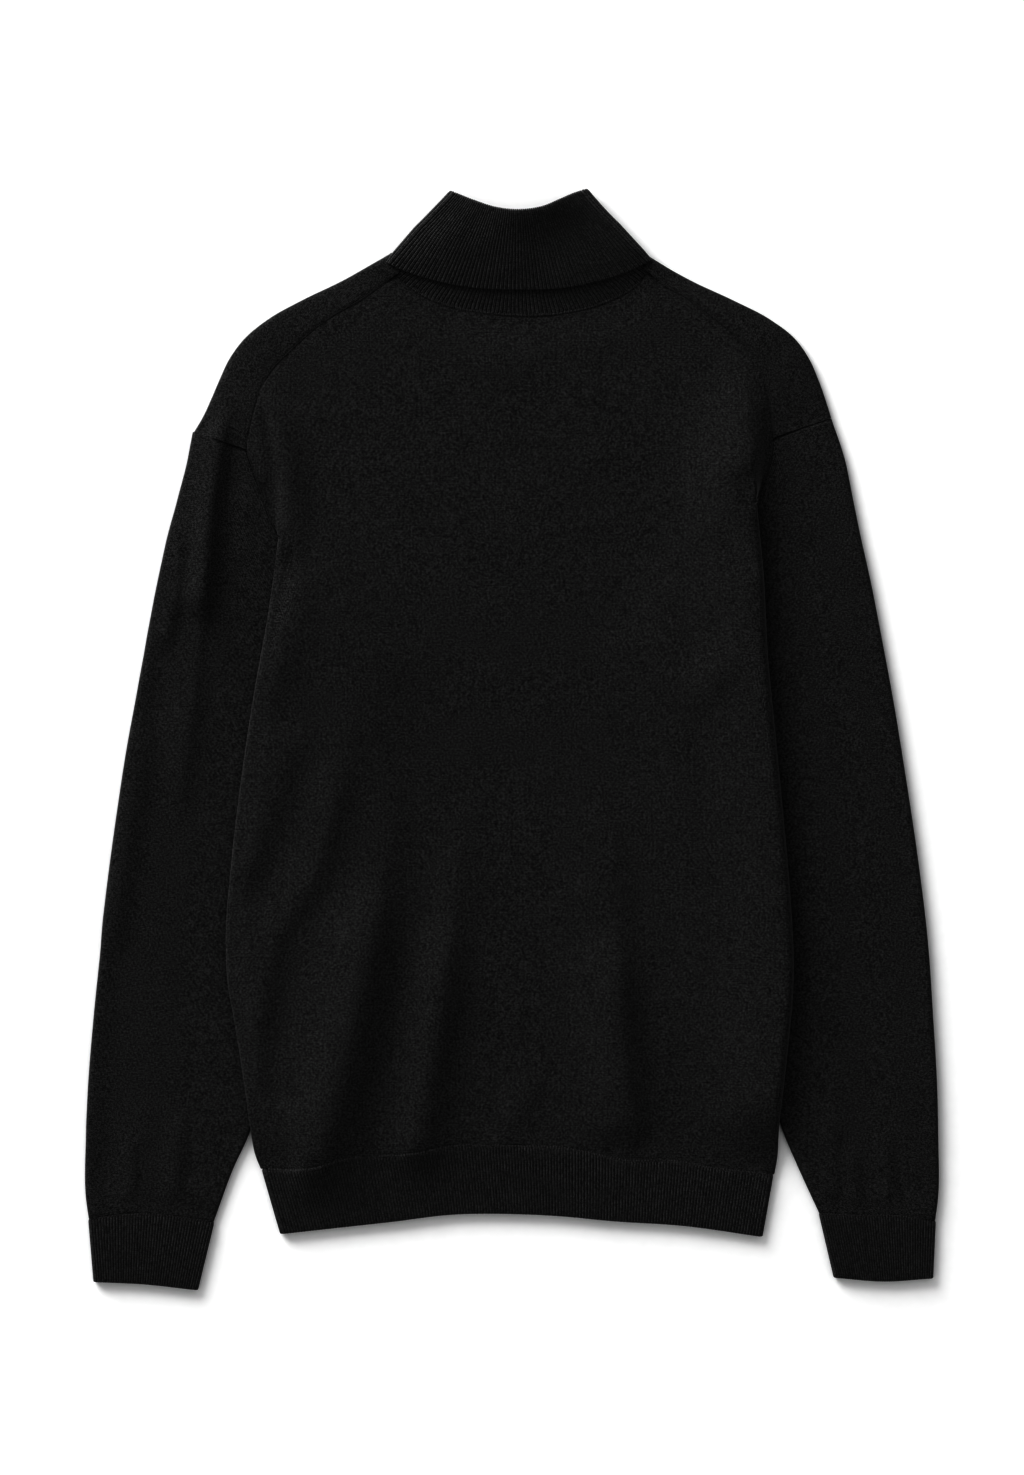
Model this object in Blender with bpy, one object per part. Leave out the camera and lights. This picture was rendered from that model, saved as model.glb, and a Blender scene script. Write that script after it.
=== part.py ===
"""A fine-gauge turtleneck sweater laid flat on its front, back side up, its sleeves folded down beside it.

Millimetres below, metres in the mesh. X runs across the garment, Y from hem to collar, Z up from the surface
that the garment rests on. Every piece of cloth is a closed wall: an outer face and an inner face a wall's
thickness apart. A panel is a grid of rows that run across the body; a tube is a chain of rings.
"""

import math
from collections import namedtuple

import bmesh
import bpy
import numpy as np

for thing in list(bpy.data.objects):
    bpy.data.objects.remove(thing, do_unlink=True)

MM = 0.001

# ---- driving sizes -----------------------------------------------------------------------------------
KNIT = 1.8  # wall of the plain knit panels
RIB = 2.0  # wall of the rib pieces under their ribs
RIB_RISE = 0.45  # how far a rib stands over the wall
SEAM = 0.3  # gap between two pieces that are sewn together
AIR = 0.5  # least gap between two layers that lie on each other

SLEEVE_FOLD = 1.1  # radius of a sleeve's inner fold, to the middle of the wall
SLEEVE_PUFF = 2.0  # radius of its outer fold
SLEEVE_TOP = 2 * SLEEVE_FOLD + KNIT  # height of the sleeve where the body lies on it
OVER = SLEEVE_TOP + AIR  # height of the front panel's underside over a sleeve
OVER_RAMP = 34.0  # width of the slope beside the sleeve
OVER_MARGIN = 12.0  # how far beside the sleeve a panel is already up
SHOULDER_FOLD = 1.7  # radius of the shoulder's fold
BACK_BASE = 2.3  # underside of the back panel where it lies lowest
BACK_LIP = 1.8  # radius of the back panel's side edge
LIP_TOP = OVER + KNIT / 2 + 2 * BACK_LIP  # middle of the wall at the top of that edge

SHOULDER_COLUMNS = 10
NECK_COLUMNS = 17
FRONT_NECK_COLUMNS = 11
BACK_ROWS = 18
SLEEVE_STATIONS = 19
SLEEVE_COLUMNS = 11

HEM_RIBS = 166
CUFF_RIBS = 40
COLLAR_RIBS = 66
COLLAR_WALL = 2.0
NECKLINE_EASE = 2.4  # from the stand to the front neckline, whose edge has few points
COLLAR_FOLD = 1.5  # radius of the turnover's fold
COLLAR_CORE = 1.3  # radius of the stand's two side folds
STAND_INSET = 0.035  # shares of the collar's width by which its rings are drawn in at each side
TURN_INSET, TURN_TOP_INSET, CREST_INSET = 0.024, 0.045, 0.03
RIB_FOLD = 1.45  # radius of the cuffs' and the hem's side folds

LIP_RAMP = (34.0, 30.0)  # the back panel's rise beside its side edge: where it begins, and its width
LIP_AT_HEM = 0.35  # share of that rise which is left at the hem
SIDE_PRESS = (22.0, 12.0)  # the sleeve goes level this far outside the body's edge, over this width
SLEEVE_SAG = 1.0  # how far the sleeve's upper layer dips beside its outer fold
SLEEVE_BELLY = 0.7  # how far it rises again towards its middle
HEM_EASE = 30.0  # width at each end of the hem over which the folds die away
FRONT_RUN = 100.0  # length over which the front panel runs out over a sleeve, below the underarm
KNIT_COLOUR = (0.0105, 0.0102, 0.0105)
RIB_COLOUR = (0.0090, 0.0088, 0.0090)

# ---- outlines, from the collar to the hem ------------------------------------------------------------
Point = namedtuple("Point", "x y")

SHOULDER_OUTLINE = {  # the fold over the shoulder, from the sleeve's seam to the collar
    -1: [Point(-229, 222), Point(-222, 234), Point(-217, 245), Point(-211, 259), Point(-204, 274),
         Point(-193, 289), Point(-176, 303), Point(-151, 317), Point(-122, 331), Point(-98, 344.5)],
    1: [Point(230, 232), Point(226, 245), Point(221, 259), Point(214.5, 274), Point(204, 289),
        Point(186, 303), Point(159, 317), Point(129, 331), Point(105, 344.5)],
}
SHOULDER_SEAM = {  # where the front panel, come over the shoulder, is sewn to the back panel
    -1: [Point(-191.5, 209.5), Point(-187, 231), Point(-183, 245), Point(-178.5, 258), Point(-172, 268),
         Point(-160, 280), Point(-146, 293), Point(-130, 305), Point(-109, 317), Point(-87, 332)],
    1: [Point(188, 218), Point(187, 234), Point(183.5, 252), Point(176.5, 272), Point(164, 288),
        Point(147, 303), Point(128, 317), Point(103, 332)],
}
ARMHOLE = {  # from the shoulder's outline to the underarm
    -1: [Point(-229, 222), Point(-191.5, 209.5), Point(-185, 191),
         Point(-180, 177), Point(-174, 159), Point(-168, 147), Point(-146, 104), Point(-120, 61)],
    1: [Point(230, 232), Point(188, 218), Point(186.5, 203),
        Point(181, 186), Point(172, 160), Point(157, 124), Point(140, 90), Point(124, 61)],
}
BODY_EDGE = {  # the body's folded side, on top of the sleeve, down to the hem
    -1: [Point(-164, 180), Point(-168, 147), Point(-176, 88), Point(-186, 32), Point(-194.5, -25),
         Point(-201.5, -83), Point(-206, -144), Point(-204.5, -176), Point(-200, -202), Point(-192, -253),
         Point(-188, -280), Point(-183.5, -302), Point(-180, -309)],
    1: [Point(174.5, 210), Point(175, 187), Point(181, 117), Point(184, 60), Point(189.5, 3),
        Point(195, -54), Point(200, -111), Point(202.5, -169), Point(197.5, -230), Point(192, -282),
        Point(191, -302), Point(189, -313)],
}
SLEEVE_OUTLINE = {
    -1: [Point(-229, 222), Point(-232.5, 202), Point(-240.5, 173), Point(-248, 144), Point(-255, 115),
         Point(-263.5, 72), Point(-271.5, 29), Point(-281, -29), Point(-289, -86), Point(-296, -144),
         Point(-302, -202), Point(-305.5, -245), Point(-307.3, -288), Point(-307, -331), Point(-305, -345)],
    1: [Point(230, 232), Point(240, 202), Point(246, 173), Point(252, 144), Point(258.5, 115),
        Point(267, 72), Point(275, 29), Point(284.5, -29), Point(293, -86), Point(300, -144),
        Point(304, -202), Point(306.5, -245), Point(307.4, -288), Point(307, -331), Point(305, -346)],
}
SLEEVE_INSIDE = {  # the sleeve's inner fold, under the body as far as the gap above the cuff
    -1: [Point(-120, 61), Point(-131, 0), Point(-143, -60), Point(-155, -120), Point(-166, -175),
         Point(-175, -225), Point(-184, -262), Point(-188.5, -281), Point(-201, -309), Point(-215, -347)],
    1: [Point(124, 61), Point(136, 0), Point(148, -60), Point(160, -120), Point(170, -175),
        Point(180, -225), Point(189, -262), Point(194.5, -280), Point(205, -305), Point(221.5, -341)],
}
CUFF_END = {-1: [Point(-301, -390.5), Point(-266, -392), Point(-227.5, -396)],
            1: [Point(303, -388), Point(268, -390), Point(233, -387.5)]}
CUFF_SEAM = {-1: [Point(-305, -345), Point(-266, -341.5), Point(-237, -344), Point(-215, -347)],
             1: [Point(305, -346), Point(271, -342.5), Point(247, -342.5), Point(221.5, -341)]}
HEM_SEAM = [Point(-180, -309), Point(-156, -309.5), Point(-138, -306.5), Point(-122, -302),
            Point(-98, -300), Point(-72, -298), Point(-46, -293), Point(4, -292.5), Point(55, -296.5),
            Point(79, -302.5), Point(117, -303), Point(144, -308), Point(189, -313)]
HEM_END = [Point(-168, -356), Point(-127, -351.5), Point(-86, -347), Point(-45, -342), Point(4, -341.5),
           Point(35, -343), Point(72, -346.5), Point(124, -350), Point(181, -358)]

NECK_BACK = [Point(-84, 335), Point(-79, 331), Point(-61, 319), Point(-40, 311.5), Point(-19, 308),
             Point(8, 306), Point(35, 307.5), Point(63, 314), Point(77, 320), Point(90, 328), Point(98, 338)]
NECK_FRONT = [Point(-84, 335), Point(-72, 312), Point(-48, 295), Point(-18, 287), Point(8, 285.5),
              Point(34, 287), Point(62, 296), Point(86, 313), Point(98, 338)]
TURNOVER_END = [Point(-91.5, 344), Point(-80, 338.5), Point(-61, 332), Point(-33, 326), Point(1.5, 324),
                Point(35, 325), Point(63.5, 330.5), Point(83.5, 337), Point(101.5, 345.5)]
COLLAR_TOP = [Point(-44, 395.2), Point(-36, 394.5), Point(-26, 389), Point(-12, 383.5), Point(5, 381),
              Point(22, 383.5), Point(35, 389), Point(45, 395), Point(52.5, 396.3)]

# ---- folds: a ridge (up) or trough (down) along a line through three or four places ------------------
Fold = namedtuple("Fold", "depth width line")
BODY_FOLDS = [
    Fold(-1.0, 12, [Point(-157, 230), Point(-143, 145), Point(-144, 98), Point(-166, 23)]),
    Fold(-1.3, 11, [Point(-140, 18), Point(-158, -20), Point(-174, -77), Point(-186, -108)]),
    Fold(1.6, 11, [Point(-124, -32), Point(-141, -60), Point(-155, -84)]),
    Fold(-1.3, 10, [Point(-112, 26), Point(-123, -60), Point(-137, -103), Point(-163, -129)]),
    Fold(-1.0, 10, [Point(-163, -129), Point(-178, -204), Point(-179, -245), Point(-174, -287)]),
    Fold(2.6, 13, [Point(-98, -40), Point(-112, -81), Point(-126, -131), Point(-146, -168)]),
    Fold(2.2, 12, [Point(-146, -168), Point(-154, -209), Point(-151, -264), Point(-150, -300)]),
    Fold(-1.6, 10, [Point(-69, -12), Point(-86, -122), Point(-103, -218), Point(-128, -305)]),
    Fold(2.9, 13, [Point(-57, -104), Point(-73, -195), Point(-84, -253), Point(-88, -300)]),
    Fold(-1.5, 9, [Point(-29, -40), Point(-36, -138), Point(-50, -241), Point(-62, -318)]),
    Fold(2.6, 15, [Point(-6, -110), Point(-13, -172), Point(-16, -253), Point(-22, -300)]),
    Fold(-1.0, 8, [Point(20, -247), Point(5, -278), Point(3, -296)]),
    Fold(2.0, 20, [Point(48, -40), Point(56, -130), Point(60, -230), Point(62, -300)]),
    Fold(-1.3, 11, [Point(71, -9), Point(82, -110), Point(87, -214), Point(96, -299)]),
    Fold(2.0, 18, [Point(104, 20), Point(116, -90), Point(122, -200), Point(128, -300)]),
    Fold(1.0, 16, [Point(-20, 298), Point(6, 290), Point(20, 280)]),
]
SLEEVE_FOLDS = {
    -1: [Fold(-1.3, 8, [Point(-203, 240), Point(-207, 205), Point(-212, 168), Point(-223, 48)]),
         Fold(-1.0, 7, [Point(-234, 145), Point(-237, 100), Point(-245.5, 60)]),
         Fold(-0.8, 8, [Point(-257, 26), Point(-264, -42), Point(-280, -153)]),
         Fold(1.0, 14, [Point(-224, 180), Point(-230, 100), Point(-240, 0)]),
         Fold(-1.0, 8, [Point(-236, -262), Point(-236, -300), Point(-240, -338)]),
         Fold(-0.9, 7, [Point(-270, -280), Point(-270, -310), Point(-272, -336)])],
    1: [Fold(1.0, 16, [Point(236, 150), Point(244, 60), Point(256, -60)]),
        Fold(-1.0, 7, [Point(234, -264), Point(235, -300), Point(236, -333)]),
        Fold(-0.9, 6, [Point(248, -290), Point(250, -315), Point(253, -333)]),
        Fold(-0.9, 7, [Point(273, -280), Point(274, -310), Point(275, -333)])],
}


# ---- curves and slopes -------------------------------------------------------------------------------
def ease(x):
    """0 below 0, 1 above 1, a smooth slope between."""
    x = np.clip(x, 0.0, 1.0)
    return x * x * (3 - 2 * x)


def x_at(line, y):
    """X of a line that runs down the garment, at a height Y."""
    rows = np.array(sorted((p.y, p.x) for p in line))
    return np.interp(y, rows[:, 0], rows[:, 1])


def y_at(line, x):
    """Y of a line that runs across the garment, at a place X."""
    rows = np.array(sorted((p.x, p.y) for p in line))
    return np.interp(x, rows[:, 0], rows[:, 1])


def along(line, share):
    """Points at shares 0 to 1 of a line's own length."""
    points = np.array(line, float)
    run = np.concatenate([[0], np.cumsum(np.hypot(*np.diff(points, axis=0).T))])
    at = np.asarray(share) * run[-1]
    return np.stack([np.interp(at, run, points[:, 0]), np.interp(at, run, points[:, 1])], axis=-1)


def fold_height(folds, x, y):
    """Sum of the folds at places x, y: each is a bell across its line, faded in and out at its ends."""
    total = np.zeros(np.broadcast(x, y).shape)
    for fold in folds:
        share = np.linspace(0, 1, 25)
        line = along(fold.line, share)
        away = np.hypot(x[..., None] - line[:, 0], y[..., None] - line[:, 1])
        nearest = away.argmin(axis=-1)
        fade = ease(np.minimum(share, 1 - share) / 0.25)[nearest] * 0.85 + 0.15
        total += fold.depth * fade * np.exp(-((away.min(axis=-1) / fold.width) ** 2))
    return total


# ---- meshes ------------------------------------------------------------------------------------------
def cloth_material(name, colour):
    material = bpy.data.materials.new(name)
    material.use_nodes = True
    shader = material.node_tree.nodes["Principled BSDF"]
    shader.inputs["Base Color"].default_value = (*colour, 1)
    shader.inputs["Roughness"].default_value = 0.95
    shader.inputs["Metallic"].default_value = 0.0
    material.diffuse_color = (*colour, 1)
    return material


def add_piece(name, points, faces, colour):
    """One closed wall from points in millimetres, its faces turned outwards."""
    mesh = bpy.data.meshes.new(name)
    mesh.from_pydata((np.asarray(points) * MM).tolist(), [], faces)
    work = bmesh.new()
    work.from_mesh(mesh)
    bmesh.ops.recalc_face_normals(work, faces=work.faces)
    work.to_mesh(mesh)
    work.free()
    mesh.shade_smooth()
    mesh.set_sharp_from_angle(angle=math.radians(50))
    mesh.materials.append(cloth_material(name, colour))
    piece = bpy.data.objects.new(name, mesh)
    bpy.context.collection.objects.link(piece)
    return piece


def sheet_wall(name, outer, inner, cells, colour):
    """A panel: two grids of points, and which of their cells are cloth. Its edges are closed all round."""
    rows, columns = cells.shape
    number = np.arange((rows + 1) * (columns + 1)).reshape(rows + 1, columns + 1)
    faces, edges = [], set()
    for i, j in np.argwhere(cells):
        ring = [number[i, j], number[i + 1, j], number[i + 1, j + 1], number[i, j + 1]]
        faces.append(ring)
        faces.append([k + number.size for k in reversed(ring)])
        for a, b in zip(ring, ring[1:] + ring[:1]):
            if (b, a) in edges:
                edges.remove((b, a))
            else:
                edges.add((a, b))
    faces += [[b, a, a + number.size, b + number.size] for a, b in sorted(edges)]
    points = np.concatenate([outer.reshape(-1, 3), inner.reshape(-1, 3)])
    used, faces = np.unique(faces, return_inverse=True)
    return add_piece(name, points[used], faces.reshape(-1, 4).tolist(), colour)


def strip(first, second, faces):
    """Triangles between two lines of points, each given as the shares 0 to 1 along it and its numbers."""
    (shares_a, a), (shares_b, b) = first, second
    i = j = 0
    while i < len(a) - 1 or j < len(b) - 1:
        if j == len(b) - 1 or (i < len(a) - 1 and shares_a[i + 1] <= shares_b[j + 1]):
            faces.append([a[i], a[i + 1], b[j]])
            i += 1
        else:
            faces.append([a[i], b[j + 1], b[j]])
            j += 1


def tube_wall(name, rings, colour):
    """A tube: closed rings in order along one face of the wall and back along the other. Each ring has its
    own number of points, so a ribbed ring may follow a plain one."""
    points, faces, lines = [], [], []
    for places, ring in rings:
        numbers = list(range(len(points), len(points) + len(ring)))
        points.extend(ring.tolist())
        lines.append(([*places, RING], numbers + numbers[:1]))
    for first, second in zip(lines, lines[1:] + lines[:1]):
        strip(first, second, faces)
    return add_piece(name, points, faces, colour)


def band_wall(name, outer, inner, colour):
    """A band: rows of points on its outer face and fewer on its inner face, each row with its places."""
    points, faces, grids = [], [], []
    for rows in (outer, inner):
        grid = []
        for places, row in rows:
            grid.append((list(places), list(range(len(points), len(points) + len(row)))))
            points.extend(row.tolist())
        for first, second in zip(grid, grid[1:]):
            strip(first, second, faces)
        grids.append(grid)
    for row in (0, -1):
        strip(grids[0][row], grids[1][row], faces)
    for end in (0, -1):
        sides = [([n / (len(grid) - 1) for n in range(len(grid))], [row[1][end] for row in grid])
                 for grid in grids]
        strip(*sides, faces)
    return add_piece(name, points, faces, colour)


# ---- rings of a flattened tube -----------------------------------------------------------------------
RING = 4.0  # places round a ring: 0-1 across the top, 1-2 the far fold, 2-3 back below, 3-4 the near fold


def ring_places(top, fold, low):
    """Places round a ring with so many steps on its top, in each fold, and below."""
    steps = [(0, top), (1, fold), (2, low), (3, fold)]
    return np.concatenate([start + np.arange(count) / count for start, count in steps])


def flat_ring(places, top_line, low_line, top_z, low_z, spread):
    """Points of a flattened tube's ring, spread out from the middle of its wall. The lines give plan points
    for shares 0 to 1 between the centres of its two side folds; top_z and low_z give their heights."""
    share = np.where(places <= 1, places, np.clip(3 - places, 0, 1))
    below = places >= 2
    plan = np.where(below[:, None], low_line(share), top_line(share))
    middle = np.where(below, low_z(plan), top_z(plan))
    height = np.where(below, middle - spread, middle + spread)
    for start, end, beyond in ((1, 1.0, 0.97), (3, 0.0, 0.03)):
        turned = (places > start) & (places < start + 1)
        angle = (places[turned] - start) * math.pi
        centre, back = top_line(np.array([end, beyond]))
        outward = (centre - back) / np.hypot(*(centre - back))
        high, low = top_z(centre[None])[0], low_z(centre[None])[0]
        if start == 3:
            angle = math.pi - angle
        radius = (high - low) / 2 + (spread[turned] if np.ndim(spread) else spread)
        plan[turned] = centre + np.outer(radius * np.sin(angle), outward)
        height[turned] = (high + low) / 2 + radius * np.cos(angle)
    return np.column_stack([plan, height])


def level(height):
    return lambda plan: np.full(len(plan), height)


def rib_rise(places):
    """Every second point on the top of a ring with two points a rib stands up."""
    return np.where((places < 1) & (np.arange(len(places)) % 2 == 1), RIB_RISE, 0.0)


# ---- how high the layers lie -------------------------------------------------------------------------
UNDERARM_Y = ARMHOLE[1][-1].y
CROTCH_Y = -281.0  # where body and sleeve part, above the cuff
CROTCH_SLOPE = 30.0  # length over which the layers come down there
BACK_LIFT, BACK_LEAST = 0.6, -0.1  # the back panel where it has no fold, and in its deepest trough
BACK_SINK = 0.2  # how much less the back panel rises over the sleeves than the front panel
BACK_REACH = 14.0  # how far before the front panel it begins to rise
LIFT = {-1: (186, 152), 1: (222, 188)}  # Y where each side of the back panel begins to rise, and is up


def over_sleeve(side, x, y, extra=0.0):
    """1 where a body panel lies on the sleeve under its side, sloping to 0 beside it."""
    inner = np.where(y > UNDERARM_Y, x_at(ARMHOLE[side], y), x_at(SLEEVE_INSIDE[side], y))
    return ease((side * (x - inner) + OVER_RAMP + extra) / (OVER_RAMP - OVER_MARGIN))


def front_underside(x, y):
    """The front panel lies on the surface, and rises on to the sleeves at the underarms."""
    begun = ease((UNDERARM_Y + 44 - y) / 38)
    return OVER * begun * np.maximum(over_sleeve(-1, x, y), over_sleeve(1, x, y))


def body_edge(side, y):
    """X of the body's folded side, held at its upper end above that end."""
    return x_at(BODY_EDGE[side], np.minimum(y, BODY_EDGE[side][0].y))


def back_underside(x, y):
    """The back panel lies on the front panel, higher along its sides, where it is folded over the sleeves."""
    height = BACK_BASE + np.maximum(fold_height(BODY_FOLDS, x, y) + BACK_LIFT, BACK_LEAST)
    at_side = LIP_TOP - KNIT / 2 - BACK_BASE - BACK_LIFT - OVER + BACK_SINK
    for side, (begins, full) in LIFT.items():
        begun = ease((begins - y) / (begins - full))
        beside = ease((side * (x - body_edge(side, y)) + LIP_RAMP[0]) / LIP_RAMP[1])
        kept = LIP_AT_HEM + (1 - LIP_AT_HEM) * ease((y - CROTCH_Y + CROTCH_SLOPE) / (2 * CROTCH_SLOPE))
        height = height + begun * over_sleeve(side, x, y, BACK_REACH) * (OVER - BACK_SINK)
        height = height + begun * beside * at_side * kept
    return height


def side_roll(rim, lowest, side, wall, turns=(45, 90, 135, 180)):
    """The rounded lip of a panel's side: from the rim's points over and down to the height lowest."""
    radius = np.maximum((rim[:, 2] - lowest) / 2, wall / 2 + 0.15)
    faces = []
    for spread in (wall / 2, -wall / 2):
        columns = []
        for turn in np.radians(turns):
            reach = side * (radius + spread) * math.sin(turn)
            height = rim[:, 2] - radius + (radius + spread) * math.cos(turn)
            columns.append(np.column_stack([rim[:, 0] + reach, rim[:, 1], height]))
        faces.append(np.stack(columns, axis=1))
    return faces


def join_sides(side, middle, strip_points):
    """Columns of a lip set beside a grid, on its left for side -1 and its right for 1."""
    if side < 0:
        return np.concatenate([strip_points[:, ::-1], middle], axis=1)
    return np.concatenate([middle, strip_points], axis=1)


# ---- back panel --------------------------------------------------------------------------------------
SHOULDER_SHARES = np.linspace(0, 1, SHOULDER_COLUMNS)


def away_from_neck(line, distance):
    """A line round the neck, moved out from the middle of the neck."""
    out = line - (np.array(NECK_BACK[0]) + NECK_BACK[-1]) / 2
    return line + out / np.hypot(*out.T)[:, None] * distance


def back_top():
    """Points of the back panel's top edge: shoulder seam, neck seam, shoulder seam."""
    neck = away_from_neck(along(NECK_BACK, np.linspace(0.04, 0.95, NECK_COLUMNS)), 3 * SEAM)
    left, right = along(SHOULDER_SEAM[-1], SHOULDER_SHARES), along(SHOULDER_SEAM[1], SHOULDER_SHARES[::-1])
    return np.concatenate([left, neck, right])


def back_side(side, y):
    """X of the flat part's side: the armhole seam, then the body's edge less its rounded lip."""
    corner = ARMHOLE[side][1]
    seam = x_at(ARMHOLE[side], np.minimum(y, corner.y))
    rim = body_edge(side, y) - side * (BACK_LIP + KNIT / 2)
    return np.where(y > LIFT[side][1], seam, rim)


def back_panel():
    top = back_top()
    across = (top[:, 0] - top[0, 0]) / (top[-1, 0] - top[0, 0])
    down = np.concatenate([[0, 0.03, 0.065], np.linspace(0.11, 1, BACK_ROWS)])
    low = y_at(HEM_SEAM, HEM_SEAM[0].x + across * (HEM_SEAM[-1].x - HEM_SEAM[0].x)) + SEAM
    y = top[:, 1] + (low - top[:, 1]) * down[:, None]
    left, right = back_side(-1, y), back_side(1, y)
    x = left + (right - left) * across
    inner = np.stack([x, y, back_underside(x, y)], axis=-1)
    outer = inner + [0, 0, KNIT]
    cells = np.ones((len(down) - 1, len(across) - 1), bool)
    for side, column in ((-1, 0), (1, -1)):
        rim = (outer[:, column] + inner[:, column]) / 2
        beneath = over_sleeve(side, body_edge(side, rim[:, 1]) - side * 3, rim[:, 1])
        strips = side_roll(rim, OVER * beneath + SEAM + KNIT / 2, side, KNIT)
        rolled = np.repeat((rim[:-1, 1] <= LIFT[side][1])[:, None], strips[0].shape[1], axis=1)
        outer, inner = join_sides(side, outer, strips[0]), join_sides(side, inner, strips[1])
        cells = join_sides(side, cells, rolled)
    return sheet_wall("back_panel", outer, inner, cells, KNIT_COLOUR)


# ---- front panel, with its shoulders turned over on to the back --------------------------------------
FRONT_DOWN = (0.0245, 0.07, 0.13, 0.19, 0.235, 0.265, 0.29, 0.315, 0.34, 0.37, 0.40, 0.44, 0.48, 0.53, 0.59,
              0.66, 0.73, 0.80, 0.87, 0.925, 0.965, 1.0)


def shoulder_rows(side, shares):
    """Rows from the shoulder seam on top, round the fold, to the layer below, for shares of the shoulder."""
    fold, seam = along(SHOULDER_OUTLINE[side], shares), along(SHOULDER_SEAM[side], shares)
    inward = (seam - fold) / np.hypot(*(seam - fold).T)[:, None]
    centre = fold + inward * (SHOULDER_FOLD + KNIT / 2)
    faces = []
    for spread in (KNIT / 2, -KNIT / 2):
        top_z = KNIT / 2 + 2 * SHOULDER_FOLD + spread
        flat = [seam - inward * 1.5 * SEAM, (seam + centre) / 2]
        rows = [np.column_stack([plan, np.full(len(plan), top_z)]) for plan in flat]
        for turn in np.radians((0, 50, 90, 130, 180)):
            reach, rise = (SHOULDER_FOLD + spread) * math.sin(turn), (SHOULDER_FOLD + spread) * math.cos(turn)
            height = np.full(len(centre), KNIT / 2 + SHOULDER_FOLD + rise)
            rows.append(np.column_stack([centre - inward * reach, height]))
        faces.append(np.stack(rows))
    return faces


def front_side(side, y):
    """X of the front panel's side: the armhole, then a run out over the sleeve to the back panel's lip."""
    seam = x_at(ARMHOLE[side], y) - side * (1.0 + 3 * ease((130 - y) / 60))
    rim = body_edge(side, y) - side * (BACK_LIP + KNIT / 2 + 2)
    return seam + (rim - seam) * ease((UNDERARM_Y - 4 - y) / FRONT_RUN)


def front_panel():
    left, right = shoulder_rows(-1, SHOULDER_SHARES), shoulder_rows(1, SHOULDER_SHARES[::-1])
    neck = away_from_neck(along(NECK_FRONT, np.linspace(0, 1, FRONT_NECK_COLUMNS)), NECKLINE_EASE)
    neck = np.column_stack([neck, np.zeros(len(neck))])
    top = np.concatenate([left[0][-1], neck, right[0][-1]])[:, :2]
    across = (top[:, 0] - top[0, 0]) / (top[-1, 0] - top[0, 0])
    low = y_at(HEM_SEAM, HEM_SEAM[0].x + across * (HEM_SEAM[-1].x - HEM_SEAM[0].x)) + 3 * SEAM
    y = top[:, 1] + (low - top[:, 1]) * np.array(FRONT_DOWN)[:, None]
    x = front_side(-1, y) + (front_side(1, y) - front_side(-1, y)) * across
    under = np.stack([x, y, front_underside(x, y)], axis=-1)
    neck_rows = np.repeat(neck[None], len(left[0]), axis=0)
    shoulders = [np.concatenate([left[face], neck_rows, right[face]], axis=1) for face in (0, 1)]
    shoulders[1][-1, :, 2] = KNIT
    outer = np.concatenate([shoulders[0], under])
    inner = np.concatenate([shoulders[1], under + [0, 0, KNIT]])
    cells = np.ones((len(outer) - 1, outer.shape[1] - 1), bool)
    cells[: len(left[0]) - 1, SHOULDER_COLUMNS - 1 : 1 - SHOULDER_COLUMNS] = False
    return sheet_wall("front_panel", outer, inner, cells, KNIT_COLOUR)


# ---- sleeves -----------------------------------------------------------------------------------------
def sleeve_line(side, down):
    """Plan points across a sleeve at a share down its length, for shares between the centres of its folds:
    a Coons patch between the armhole, the two long edges and the cuff's seam."""
    mouth_end, cuff_end = along(ARMHOLE[side], [0.0, 1.0]), along(CUFF_SEAM[side], [0.0, 1.0])
    outside, inside = along(SLEEVE_OUTLINE[side], down), along(SLEEVE_INSIDE[side], down)
    width = np.hypot(*(inside - outside))
    near, far = SLEEVE_PUFF + KNIT / 2, SLEEVE_FOLD + KNIT / 2
    gap = np.array([side * 0.4, -0.4])

    def line(share):
        across = (near + share * (width - near - far)) / width
        mouth = along(ARMHOLE[side], across) + gap
        cuff = along(CUFF_SEAM[side], across) + [0, SEAM]
        a = across[:, None]
        corners = (1 - down) * ((1 - a) * mouth_end[0] + a * mouth_end[1])
        corners = corners + down * ((1 - a) * cuff_end[0] + a * cuff_end[1])
        return (1 - a) * outside + a * inside + (1 - down) * mouth + down * cuff - corners

    return line


def sleeve_top(side):
    """Middle of the sleeve's upper layer at plan points: puffed at the outer fold, level under the body."""

    def height(plan):
        x, y = plan[:, 0], plan[:, 1]
        from_fold = side * (x_at(SLEEVE_OUTLINE[side], y) - x)
        free = KNIT / 2 + 2 * SLEEVE_PUFF - SLEEVE_SAG * ease((from_fold - 4) / 16)
        free = free + SLEEVE_BELLY * ease((from_fold - 16) / 30) + fold_height(SLEEVE_FOLDS[side], x, y)
        pressed = ease((side * (body_edge(side, y) - x) + SIDE_PRESS[0]) / SIDE_PRESS[1])
        pressed = pressed * ease((LIFT[side][0] - y) / 30) * ease((y - CROTCH_Y) / CROTCH_SLOPE + 1)
        lying = KNIT / 2 + 2 * SLEEVE_FOLD
        return lying + (np.maximum(free, lying) - lying) * (1 - pressed)

    return height


def sleeve(side, name):
    places = ring_places(SLEEVE_COLUMNS, 3, 5)
    rings = []
    for spread in (KNIT / 2, -KNIT / 2):
        face = []
        for down in np.linspace(0, 1, SLEEVE_STATIONS):
            line = sleeve_line(side, down)
            face.append((places, flat_ring(places, line, line, sleeve_top(side), level(KNIT / 2), spread)))
        rings += face if spread > 0 else face[::-1]
    return tube_wall(name, rings, KNIT_COLOUR)


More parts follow.
